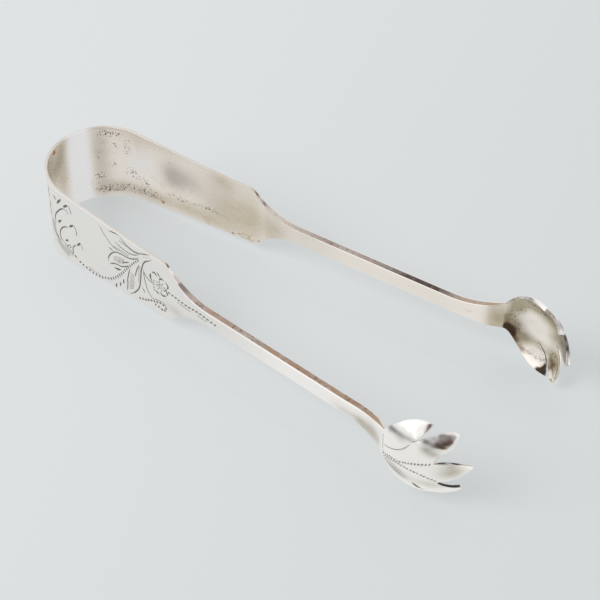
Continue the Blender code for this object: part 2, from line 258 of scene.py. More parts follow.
def crown_scrolls():
    work = [line(*stroke) for stroke in (
        ([(23.6, 7), (22.3, 6.2), (21, 4.7), (19.7, 2.9), (19, 0.8), (19.2, -0.6)], 0.36, 0.07),
        ([(24.9, 9.1), (25.6, 8.5), (26, 7.6), (26, 6.4)], 0.24),
        ([(23.4, 6.9), (24.4, 6.7), (25, 5.9)], 0.2),
        ([(24.3, 0.8), (22.9, 0.2), (21.6, -1.2), (20.8, -2.9), (20.7, -4.2), (21.1, -5.2),
          (22.1, -5.9)], 0.34, 0.07),
        ([(26.4, 2.9), (27.1, 2.2), (27.5, 1.2), (27.4, -0.5)], 0.24),
        ([(23.2, -7), (23.6, -6.1), (24.4, -5.6), (24.6, -6.3), (24, -6.6)], 0.24),
        ([(26.9, -4.2), (25.9, -5), (25.4, -6.4), (25.4, -8.2)], 0.3),
        ([(28.6, -2.6), (29.2, -3.4), (29.2, -4.4)], 0.2, 0.04),
        ([(16.4, 10.2), (16.2, 8.2), (16.5, 6.2)], 0.3),
        ([(16.9, 5.4), (16.5, 2.6), (16.8, 0)], 0.3),
    )]
    work += [bright_cut(*stroke) for stroke in (
        ([(23.2, 7.4), (25, 9.1)], 0.62, 0.1), ([(20.4, 0.3), (21.9, 2)], 0.62, 0.1, 0.3),
        ([(24.8, 1.3), (26.5, 2.9)], 0.6, 0.1), ([(22.8, -4.9), (23.8, -4)], 0.6, 0.1),
        ([(27.2, -4), (28.7, -2.2)], 0.58, 0.1), ([(25.8, -8.2), (26.6, -8.9)], 0.5, 0.09),
        ([(19.4, 9.2), (20.3, 8.1)], 0.5, 0.09), ([(20.6, 7.1), (22.6, 9.8)], 0.6, 0.1),
    )]
    edge = [(17.2, -0.1), (17.0, -2.8), (17.8, -4.9), (19.4, -6.2)]
    for shift in (0.0, 0.55, 1.1, 1.65):
        work.append(line([(s + shift, z - 0.15 * shift) for s, z in edge], 0.2, 0.04))
    foot = [(18.2, -7.4), (20.0, -8.4), (22.0, -9.4), (23.8, -10.3)]
    for shift in (0.0, 0.5, 1.0, 1.5):
        work.append(line([(s + shift * 0.7, z + shift) for s, z in foot], 0.2, 0.045))
    work.append(line([(22.1, -5.8), (23.4, -7.1), (24.9, -8.0), (25.1, -9.2)], 0.26, 0.05))
    return work


def leaf_spray():
    work = [line(*stroke) for stroke in (
        ([(37, 9.2), (37.9, 7.7), (38.9, 6.6), (39.9, 5.6), (40.9, 4.8), (42.4, 4.2),
          (43.6, 3.9)], 0.22, 0.045),
        ([(44.5, 9.7), (45.3, 8.9), (46.3, 8.3), (47.6, 7.7), (48.7, 7.5), (50, 7.6), (51.3, 7.9),
          (53, 8.7), (55.2, 9.7)], 0.28, 0.06),
        ([(42.5, 6.8), (43.5, 6.3), (44.4, 6), (45.7, 5.8), (47.4, 5.7), (48.9, 6),
          (50.7, 6.8)], 0.26, 0.055),
        ([(39.2, -2.2), (39.3, -1.2), (39.9, 0.3), (41, 1.8), (42.3, 2.9), (43.4, 3.3), (44.8, 3.5),
          (46.1, 3.6), (47.2, 3.8), (48.4, 4.2), (50, 5.2), (51.1, 6.1)], 0.32, 0.065),
        ([(39.8, -2.8), (41.1, -1.9), (42.4, -1.4), (43.8, -1.2), (44.8, -0.8), (46, 0),
          (46.9, 0.9)], 0.32, 0.065),
        ([(47.4, 0), (46.7, -2.3), (46.2, -4.4), (46.1, -6.1), (45.8, -8.1), (45.5, -8.9)], 0.3, 0.06),
        ([(55.7, 8.3), (54.7, 7.3), (53.6, 6.5), (52.7, 5.2), (52.2, 3.8), (51.7, 2), (51.4, 0),
          (51.1, -2), (50.7, -3.9), (50, -5.7), (48.9, -7.3), (47.8, -8.5), (46.6, -9.3)], 0.34, 0.07),
        ([(51.1, 3.7), (50.2, 1.8), (49.6, 0), (49.1, -1.7)], 0.28, 0.055),
        ([(52.5, 3), (52.7, 0), (53.1, -2.2), (53.8, -4.2), (54.8, -5.3), (55.9, -6)], 0.24, 0.05),
        ([(52.5, 2.4), (53.3, 1.2), (54.4, 0.4), (55.9, 0)], 0.26, 0.055),
    )]
    work += [bright_cut(*stroke) for stroke in (
        ([(40.2, 9.3), (42.4, 9.8), (44.3, 10)], 0.36, 0.075),
        ([(39.9, 3.3), (40.7, 3), (41.6, 2.8)], 0.36, 0.07),
        ([(44.5, 0.6), (45.9, 1.4), (47.3, 2.3)], 0.36, 0.08),
        ([(41.3, -3.2), (42.7, -3), (44, -2.4)], 0.55, 0.1),
        ([(41.7, -8.6), (41.4, -10.5)], 0.46, 0.09), ([(43.3, -7.2), (43.1, -9)], 0.42, 0.08),
        ([(44.6, -5.3), (44.5, -7.1)], 0.5, 0.09, 0.7),
        ([(51.5, -3.9), (52, -4.6), (52.4, -5.4)], 0.34, 0.07, 0.8),
    )]
    work += hatch([(44, 7.6), (44.6, 8.5)], [(50.4, 6.9), (51.4, 7.6)], 13, 0.2)
    work += hatch([(41.5, 1.4), (41.7, -0.9)], [(45.4, 3), (44.9, -0.4)], 8, 0.3)
    work += hatch([(47.4, -1.2), (49, -1.6)], [(46.3, -7.6), (48.6, -6.4)], 11, 0.2)
    work += hatch([(50.6, 3.2), (51.8, 3)], [(49.9, -2.6), (50.9, -2.8)], 9, 0.2)
    work += dots([(50.7, 5), (49.5, 3.7), (47.7, 1.4), (45.9, -1.1), (43.9, -3.9), (41.8, -6.4),
                  (39.6, -8.3), (37.4, -9.5), (36, -10.1), (33.4, -10.5), (31.1, -10.3), (29.4, -10),
                  (27.8, -9.6)], 1.25, 0.75, 0.48, 0.13, 1.25)
    work += dots([(45, -2.9), (43, -5.9), (40.8, -8), (38.9, -9.4)], 1, 0.34, 0.2, 0.045)
    work += hatch([(36.2, -9.4), (35.8, -10)], [(31.4, -9), (31, -9.9)], 8, 0.2)
    work += hatch([(41.6, 4), (42.3, 5.2)], [(46.6, 4), (47.4, 5.2)], 9, 0.2)
    work += dots([(52.9, 7.6), (54.7, 8.4)], 0.7, 0.3, 0.2, 0.04)
    return work


def daisy():
    work = [bright_cut(*stroke) for stroke in (
        ([(55.1, 3.3), (55, 1.7), (55.6, 0.4)], 0.52, 0.09, 0.3),
        ([(55.7, 3.9), (56.6, 4.4), (57.6, 3.6)], 0.46, 0.085), ([(57.5, 5.2), (58.6, 4)], 0.4, 0.08),
        ([(58.2, 2.7), (58.8, 3.6), (60, 3.6)], 0.48, 0.085),
        ([(60.4, 3.5), (61.4, 2.4), (60.9, 1.1)], 0.46, 0.085),
        ([(60, 0.4), (61, -0.3), (60.7, -1.3)], 0.4, 0.08), ([(56.5, -1.9), (57.9, -2.5)], 0.46, 0.085),
        ([(58.2, -1.4), (59.2, -2.2), (60.5, -1.5)], 0.46, 0.085),
    )]
    work += dots([(56.2, 1.4), (56, -0.2), (56.2, -1.9)], 0.75, 0.55, 0.34, 0.08, 1.5)
    centre = np.array([58.5, 0.7])

    def around(angle, radius):
        return centre + (radius * math.cos(angle), radius * math.sin(angle))

    work.append(line([around(angle, 0.62) for angle in np.arange(0.0, 6.0, 0.7)], 0.24, 0.05))
    for angle in np.arange(0.2, 6.3, 0.79):
        work.append(bright_cut([around(angle, 0.95), around(angle, 1.85)], 0.28, 0.055))
    return work


def shoulder_lines():
    stem = [(60.4, 0.5), (62.5, 0.4), (64.8, 0.5), (66.3, 0.6), (68.6, 0.5), (70.6, 0.6), (72.1, 0.7),
            (73.9, 0.6), (75.6, 0.4), (77.3, 0.2), (78.4, 0.1)]
    low_stem = [(50.4, -8.7), (51.6, -8.2), (52.8, -7.8), (54.4, -6.9), (55.9, -6.3), (57.4, -5.8),
                (58.6, -5.6), (59.7, -5.9), (60.1, -6.5), (59.5, -7.4), (58.5, -7.7), (57.5, -7.4),
                (56.2, -7.3)]
    work = rocked(stem, 1.25, 0.9, 0.42, 0.12, 0.6) + rocked(low_stem, 1.2, 0.75, 0.46, 0.12, 1.2)
    for twig in ([(65.3, -0.5), (67.7, -0.5), (69.4, -0.7)], [(72.6, -0.5), (75.1, -0.7)]):
        work += rocked(twig, 1.1, 0.7, 0.24, 0.05, 0.5)
    work.append(line([(55.5, -5.6), (57.5, -5), (59.2, -4.9), (60.4, -5.7)], 0.2, 0.04))
    return work


def claw_lines():
    """A plain line to each outer notch and rocked ones to the inner notches and the lower side."""
    work = [line(*stroke) for stroke in (
        ([(0.9, 0.2), (3, 0.8), (5, 1.8), (6.8, 2.9), (8.2, 4.1), (9.4, 5.6), (10.2, 6.8)], 0.2, 0.045),
        ([(1.6, -3.6), (5.4, -3.6), (9, -4.4)], 0.15, 0.025),
    )]
    work += rocked([(1.4, -2.9), (4.4, -1.6), (7.2, -0.8), (9.5, 0.4), (12.5, 1.7), (15.9, 2.9)])
    work += rocked([(2.2, -3.3), (5.9, -1.9), (9.2, -1.3), (12.4, -1.3), (15, -1.7), (17.4, -2.5)])
    work += rocked([(1.4, -4.2), (3.3, -5), (6.1, -5.4), (9.2, -5.4)], 0.85, 0.7, 0.24, 0.07)
    work += dots([(1, 3), (1.1, -3.4)], 0.95, 0.46, 0.34, 0.1, 0.6)
    return work


def carved_depth(strokes, s, z):
    """Depth of the engraving, in metres, at points given in millimetres."""
    order = np.argsort(s)
    s, z = s[order], z[order]
    depth = np.zeros(len(s))
    for path, widths, depths in strokes:
        for a, b, wa, wb, da, db in zip(path, path[1:], widths, widths[1:], depths, depths[1:]):
            reach = max(wa, wb) / 2
            first, last = np.searchsorted(s, [min(a[0], b[0]) - reach, max(a[0], b[0]) + reach])
            if first == last:
                continue
            ds, dz = b - a
            ps, pz = s[first:last] - a[0], z[first:last] - a[1]
            t = np.clip((ps * ds + pz * dz) / max(ds * ds + dz * dz, 1e-12), 0.0, 1.0)
            off = np.hypot(ps - t * ds, pz - t * dz)
            cut = (da + (db - da) * t) * (1.0 - off / ((wa + (wb - wa) * t) / 2))
            depth[first:last] = np.maximum(depth[first:last], cut)
    result = np.empty(len(depth))
    result[order] = depth
    return np.maximum(result, 0.0) * 0.001


# Skins: closed surfaces drawn ring by ring along the side


def marks(*words):
    """The soft marks listed under these words."""
    return MARKS.get(" ".join(words), [])


def soft_spots(spots, a, b):
    """Soft round spots, each (a, b, spread in a, spread in b, strength), summed in millimetres."""
    total = np.zeros(np.shape(a))
    for a0, b0, spread_a, spread_b, strength in spots:
        total += strength * np.exp(-((a - a0) / spread_a) ** 2 - ((b - b0) / spread_b) ** 2)
    return np.clip(total, 0.0, 1.0)


def ring_template(outer_count, inner_count, round_count, flat_count):
    """Rows of (face, round, crowning, height, round height, inner, rim) factors."""
    rows = [(1.0, 0.0, 1.0 - f * f, f, 0.0, 0.0, 0.0) for f in np.linspace(-1.0, 1.0, outer_count)]
    quarter = np.linspace(0.0, math.pi / 2, round_count + 1)[1:]
    for sign in (1.0, -1.0):
        edge = [(1.0, math.cos(a) - 1.0, 0.0, sign, sign * math.sin(a), 0.2, 0.5) for a in quarter]
        across = np.linspace(1.0, -1.0, flat_count + 1)[1:]
        edge += [(g, -g, 0.0, sign, sign, 0.5, 1.0) for g in across]
        edge += [(-1.0, 1.0 - math.sin(a), 0.0, sign, sign * math.cos(a), 0.8, 0.5) for a in quarter]
        rows += edge if sign > 0 else edge[::-1]
        if sign > 0:
            for f in np.linspace(1.0, -1.0, inner_count)[1:-1]:
                rows.append((-1.0, 0.0, INNER_CROWNING * (f * f - 1.0), f, 0.0, 1.0, 0.0))
    return np.array(rows)


def add_object(name, data):
    obj = bpy.data.objects.new(name, data)
    bpy.context.scene.collection.objects.link(obj)
    return obj


def make_mesh(name, side, points, faces, attributes):
    """A mesh placed in the model's frame; the near side is mirrored and its faces turned."""
    points = np.array(points, float)
    if side == "near":
        points[:, 1] *= -1.0
        faces = [face[::-1] for face in faces]
    matrix = np.array(PLACE)
    placed = points @ matrix[:3, :3].T + matrix[:3, 3]
    mesh = bpy.data.meshes.new(name)
    mesh.from_pydata(placed.tolist(), [], [list(face) for face in faces])
    mesh.polygons.foreach_set("use_smooth", np.ones(len(faces), bool))
    for key, values in attributes.items():
        layer = mesh.attributes.new(key, "FLOAT", "POINT")
        layer.data.foreach_set("value", np.asarray(values, np.float32))
    rest = mesh.attributes.new("rest", "FLOAT_VECTOR", "POINT")
    rest.data.foreach_set("vector", points.astype(np.float32).ravel())
    mesh.update()
    return add_object(name, mesh)


def grid_faces(rings, columns):
    """Quads of a tube of rings, each closed on itself."""
    i, j = np.meshgrid(np.arange(rings - 1) * columns, np.arange(columns), indexing="ij")
    k = (j + 1) % columns
    quads = np.stack([i + j, i + k, i + columns + k, i + columns + j], -1)
    return quads.reshape(-1, 4).tolist()


def polish_at(s):
    """The claws are polished more than the band, and the finish changes along the arms."""
    return smooth_step((s - NECK_END + POLISH_LEAD) / POLISH_LENGTH)


def cup_angle(u, v):
    radius = CUP_RADIUS * (CLAW_LENGTH / np.maximum(u, 0.001)) ** CUP_POWER
    return v / radius * (1.0 + (v / EDGE_CURL_WIDTH) ** 2)


def cupped(u, v, steps):
    """Drop and rise of the cupped blank at v, away from its middle line."""
    drop, rise = np.zeros(np.shape(v)), np.zeros(np.shape(v))
    for i in range(steps):
        angle = cup_angle(u, v * (i + 0.5) / steps)
        drop += np.sin(angle) * v / steps
        rise += np.cos(angle) * v / steps
    return drop, rise


def make_skin(name, side, stations, template, edge_round, crowning, strokes):
    """A length of the side as one closed surface. Its far end takes the cup of the claw's root."""
    s = np.array(stations)[:, None]
    half, gauge = half_width(s), thickness(s) / 2
    root = smooth_step((s - ROOT_AT + ROOT_BLEND) / ROOT_BLEND)
    back = mix(gauge, CLAW_THICKNESS - gauge, root)
    rounding = np.minimum(mix(edge_round, CLAW_EDGE_ROUND, root), (gauge + back) * MOST_ROUNDING)
    a, b, c, d, e, inner, rim = template.T
    out = gauge * (1.0 + a) / 2 - back * (1.0 - a) / 2 + b * rounding + c * crowning * (1.0 - root)
    z = d * (half - rounding) + e * rounding
    out = out - root * cupped(np.zeros(z.shape), z, ROOT_CUP_STEPS)[0]
    spread = np.broadcast_to(s, z.shape)
    place = spread * 1000, z * 1000
    carved = np.zeros(z.shape)
    face = (inner == 0.0) & (rim == 0.0)
    depth = carved_depth(strokes, *(values[:, face].ravel() for values in place))
    carved[:, face] = depth.reshape(len(stations), -1)
    out = out - carved
    slope = side_slope(s)
    x, y = side_point(s)
    points = np.stack([x - np.sin(slope) * out, y + np.cos(slope) * out, z], -1).reshape(-1, 3)
    columns = len(template)
    last = (len(stations) - 1) * columns
    faces = grid_faces(len(stations), columns)
    # Each end is closed with points of its own, so that its turn doesn't show in the shading
    ends = np.concatenate([np.arange(columns), last + np.arange(columns)])
    count = len(points)
    points = np.vstack([points, points[ends]])
    faces.append([count + j for j in reversed(range(columns))])
    faces.append([count + columns + j for j in range(columns)])
    attributes = {
        "cut": np.clip(carved / DIRTY_DEPTH, 0.0, 1.0),
        "inner": np.broadcast_to(inner, z.shape),
        "rim": np.broadcast_to(rim, z.shape),
        "polish": polish_at(spread),
    }
    for key in MARK_KINDS:
        crown = [(-at if side == "near" else at, *spot) for at, *spot in marks("crown", key)]
        inside = soft_spots(marks(side, "inside", key) + crown, *place)
        outside = soft_spots(marks(side, "outside", key), *place)
        attributes[key] = mix(outside, inside, smooth_step(inner / 0.5))
    places, *wear = np.array(EDGE_WEAR[side]).T
    for key, values in zip(EDGE_KEYS, wear):
        attributes[key] = np.interp(spread * 1000, places, values)
    for key, values in attributes.items():
        values = np.asarray(values).ravel()
        attributes[key] = np.concatenate([values, values[ends]])
    return make_mesh(name, side, points, faces, attributes)


def stations_between(*spans):
    """Stations over spans of (start, end, step), each start shared with the end before it."""
    places = [spans[0][0]]
    for start, end, step in spans:
        count = max(1, math.ceil((end - start) / step))
        places += [start + (end - start) * (i + 1) / count for i in range(count)]
    return places


# Claws


def bezier(points, t):
    points = [np.array(p) for p in points]
    while len(points) > 1:
        points = [a + (b - a) * t[:, None] for a, b in zip(points, points[1:])]
    return points[0]


def raised(u, v, inset):
    """Carry blank points onto the raised claw, as the solids do."""
    steps = CLAW_CUP_STEPS
    slope = float(side_slope(np.array([ROOT_AT]))[0])
    x, y = (float(value[0]) + np.zeros(len(u)) for value in side_point(np.array([ROOT_AT])))
    x -= math.sin(slope) * ROOT_THICKNESS / 2
    y += math.cos(slope) * ROOT_THICKNESS / 2
    for i in range(steps):
        turn = ROOT_SLOPE - CLAW_HOOK * ((i + 0.5) / steps * u / CLAW_LENGTH) ** HOOK_POWER
        x += np.cos(turn) * u / steps
        y += np.sin(turn) * u / steps
    turn = ROOT_SLOPE - CLAW_HOOK * (u / CLAW_LENGTH) ** HOOK_POWER
    lean = cup_angle(u, v)
    drop, rise = cupped(u, v, steps)
    drop += inset * np.cos(lean)
    rise -= inset * np.sin(lean)
    return np.column_stack([x + np.sin(turn) * drop, y - np.cos(turn) * drop, rise])


def half_edges(half, centre_tip):
    """Edge curves of the side, middle and centre lobes on one half of the blank."""
    root = (0.0, ROOT_WIDTH * 500)
    outer, inner = half["outer_notch"], half["inner_notch"]
    curves = [
        [root, *half["side_out"], half["side_tip"]],
        [outer, half["side_in"], half["side_tip"]],
        [outer, *half["middle_out"], half["middle_tip"]],
        [inner, *half["middle_in"], half["middle_tip"]],
        [inner, *half["centre"], centre_tip],
    ]
    return [[(u / 1000, v / 1000) for u, v in curve] for curve in curves]


def eased(count):
    """Shares from 0 to 1 that lie closer together at both ends."""
    even = np.linspace(0.0, 1.0, count + 1)
    return mix(even, 0.5 - 0.5 * np.cos(math.pi * even), END_CROWDING)


def lobe_grid(outer, inner, shares, rows, flip=False):
    """Blank points and lobe cupping of one lobe, as rows from its base to its tip."""
    q = np.linspace(0.0, 1.0, rows + 1)
    reach = 1.0 - (1.0 - q) ** LOBE_FULLNESS
    left, right = bezier(outer, reach), bezier(inner, reach)
    tip = np.array(outer[-1])
    base = (np.array(outer[0]) + np.array(inner[0])) / 2
    across = np.array([tip[1] - base[1], base[0] - tip[0]])
    across /= np.linalg.norm(across)
    p = shares[None, :, None]
    spots = left[:, None, :] + (right - left)[:, None, :] * p
    spots = spots + across * (p - 0.5) * LOBE_TIP_WIDTH * (q ** 3)[:, None, None]
    spots[..., 0] = np.minimum(spots[..., 0], tip[0])
    if flip:
        spots[..., 1] *= -1.0
    return spots, LOBE_CUP * q[:, None] * (2.0 * shares[None, :] - 1.0) ** 2


def palm_grid(upper, lower, rows, columns):
    """Blank points of the claw's undivided part."""
    notches = [upper[1][0], upper[3][0]]
    notches += [(u, -v) for u, v in (lower[3][0], lower[1][0])]
    far_line = []
    for first, second in zip(notches, notches[1:]):
        a, b = np.array(first), np.array(second)
        far_line += [a + (b - a) * t for t in columns[:-1]]
    far_line = np.array(far_line + [notches[-1]])
    heights = ROOT_WIDTH * (0.5 - np.linspace(0.0, 1.0, len(far_line)))
    start = np.column_stack([np.zeros(len(far_line)), heights])
    spots = start[None] + (far_line - start)[None] * rows[:, None, None]
    return spots, np.zeros(spots.shape[:2])


def make_blank(side):
    """The flat lobed blank: its points, their lobe cupping, its faces and its outline."""
    rows, columns = eased(PALM_ROWS), eased(LOBE_COLUMNS)
    tip_u, tip_v = LOBES[side]["centre_tip"]
    upper = half_edges(LOBES[side]["upper"], (tip_u, tip_v))
    lower = half_edges(LOBES[side]["lower"], (tip_u, -tip_v))
    grids = [palm_grid(upper, lower, rows, columns)]
    for half, flip in ((upper, False), (lower, True)):
        grids.append(lobe_grid(half[0], half[1], rows, SIDE_LOBE_ROWS, flip))
        grids.append(lobe_grid(half[2], half[3], columns, MIDDLE_LOBE_ROWS, flip))
    lower_centre = [(u, -v) for u, v in lower[4]]
    grids.append(lobe_grid(upper[4], lower_centre, columns, CENTRE_LOBE_ROWS))
    bm = bmesh.new()
    cup_layer = bm.verts.layers.float.new("cup")
    for spots, cup in grids:
        verts = []
        for row_spots, row_cup in zip(spots, cup):
            verts.append([bm.verts.new((u, v, 0.0)) for u, v in row_spots])
            for vert, depth in zip(verts[-1], row_cup):
                vert[cup_layer] = depth
        for first, second in zip(verts, verts[1:]):
            for i in range(len(first) - 1):
                bm.faces.new((first[i], first[i + 1], second[i + 1], second[i]))
    bmesh.ops.remove_doubles(bm, verts=bm.verts, dist=JOIN_WITHIN)
    for face in bm.faces:
        face.normal_update()
        if face.normal.z < 0.0:
            face.normal_flip()
    bm.verts.index_update()
    spots = np.array([vert.co[:2] for vert in bm.verts])
    cup = np.array([vert[cup_layer] for vert in bm.verts])
    sheet = [[vert.index for vert in face.verts] for face in bm.faces]
    outline = [
        [loop.vert.index, loop.link_loop_next.vert.index]
        for face in bm.faces for loop in face.loops if loop.edge.is_boundary
    ]
    bm.free()
    return spots, cup, sheet, outline


def edge_distance(indices, spots):
    """Distance of each blank point from the outline, by its points."""
    indices = sorted(set(indices))
    tree = KDTree(len(indices))
    for number, index in enumerate(indices):
        tree.insert((*spots[index], 0.0), number)
    tree.balance()
    return np.array([tree.find((u, v, 0.0))[2] for u, v in spots])


def make_claw(name, side):
    """The raised claw: the blank's outer and hollow faces and the rounded edge between them."""
    spots, cup, sheet, outline = make_blank(side)
    u, v = spots.T
    at_root = u < AT_ROOT
    edge = edge_distance([pair[0] for pair in outline if not at_root[pair].all()], spots)
    within = np.clip(1.0 - edge / CLAW_EDGE_ROUND, 0.0, 1.0)
    rounded = CLAW_EDGE_ROUND * (1.0 - np.sqrt(1.0 - within ** 2))
    carved = carved_depth(claw_lines(), u * 1000, v * 1000)
    waves = np.sin(u * 2300 + 1.3) * np.sin(v * 1900 + 0.4) + np.sin(u * 900 - v * 1400) / 1.5
    uneven = HAMMER_DEPTH * waves * smooth_step(u / HAMMER_START)
    outer = raised(u, v, cup + rounded + carved + uneven)
    hollow = raised(u, v, cup + CLAW_THICKNESS - rounded + uneven)
    count = len(spots)
    faces = [face[::-1] for face in sheet]
    faces += [[index + count for index in face] for face in sheet]
    # The edge at the root has points of its own, so that its turn doesn't show in the shading
    copies = {}
    for a, b in outline:
        quad = [b + count, a + count, a, b]
        if at_root[a] and at_root[b]:
            quad = [copies.setdefault(index, 2 * count + len(copies)) for index in quad[::-1]][::-1]
        faces.append(quad)
    origin = np.array(list(copies))
    points = np.vstack([outer, hollow])
    points = np.vstack([points, points[origin]])
    attributes = {
        "cut": np.concatenate([np.clip(carved / DIRTY_DEPTH, 0.0, 1.0), np.zeros(count)]),
        "inner": np.concatenate([np.zeros(count), np.ones(count)]),
        "rim": np.tile(within, 2),
        "polish": np.tile(polish_at(ROOT_AT + u), 2),
    }
    for key in MARK_KINDS + EDGE_KEYS:
        faced = ("rim", "rim") if key in EDGE_KEYS else ("outside", "hollow")
        attributes[key] = np.concatenate(
            [soft_spots(marks(side, "claw", word, key), u * 1000, v * 1000) for word in faced]
        )
    for key, values in attributes.items():
        attributes[key] = np.concatenate([values, values[origin]])
    return make_mesh(name, side, points, faces, attributes)


# Materials


def add_node(tree, kind, inputs=None, **settings):
    """A shader node. An input is linked where a socket is given for it, and set otherwise."""
    node = tree.nodes.new(kind)
    for key, value in settings.items():
        setattr(node, key, value)
    for key, value in (inputs or {}).items():
        socket = node.inputs[key]
        if isinstance(value, bpy.types.NodeSocket):
            tree.links.new(value, socket)
        else:
            socket.default_value = value
    return node


def attribute(tree, name, output="Fac"):
    return add_node(tree, "ShaderNodeAttribute", attribute_name=name).outputs[output]


def ramp(tree, value, low, high, to_low=0.0, to_high=1.0):
    """Smooth step of a value between two levels."""
    inputs = {"Value": value, "From Min": low, "From Max": high, "To Min": to_low, "To Max": to_high}
    node = add_node(tree, "ShaderNodeMapRange", inputs, interpolation_type="SMOOTHSTEP")
    return node.outputs["Result"]


def maths(tree, operation, *values, clamp=False):
    inputs = dict(enumerate(values))
    node = add_node(tree, "ShaderNodeMath", inputs, operation=operation, use_clamp=clamp)
    return node.outputs[0]


def scaled(tree, value, factor, base=0.0):
    return maths(tree, "MULTIPLY_ADD", value, factor, base)


def noise(tree, vector, scale, detail=3.0, roughness=0.55, distortion=0.0):
    inputs = {"Vector": vector, "Scale": scale, "Detail": detail, "Roughness": roughness}
    inputs["Distortion"] = distortion
    return add_node(tree, "ShaderNodeTexNoise", inputs).outputs["Fac"]


def stretched(tree, vector, factors, shift=(0.0, 0.0, 0.0)):
    inputs = {"Vector": vector, "Scale": factors, "Location": shift}
    return add_node(tree, "ShaderNodeMapping", inputs).outputs["Vector"]


def blend_colour(tree, share, first, second):
    inputs = {0: share, 6: first, 7: second}
    return add_node(tree, "ShaderNodeMix", inputs, data_type="RGBA").outputs[2]


# Fineness of the patterns in the metal, in cells per metre, and the depth of its relief
CLOUD_SCALE = 95.0
MOTTLE_SCALE = 420.0
GRAIN_SCALE = 2600.0
STREAK_SCALE = 3200.0
SPECK_SCALE = 900.0
PIT_SCALE = 1650.0
PIT_GROUP_SCALE = 210.0
RELIEF = 0.000004


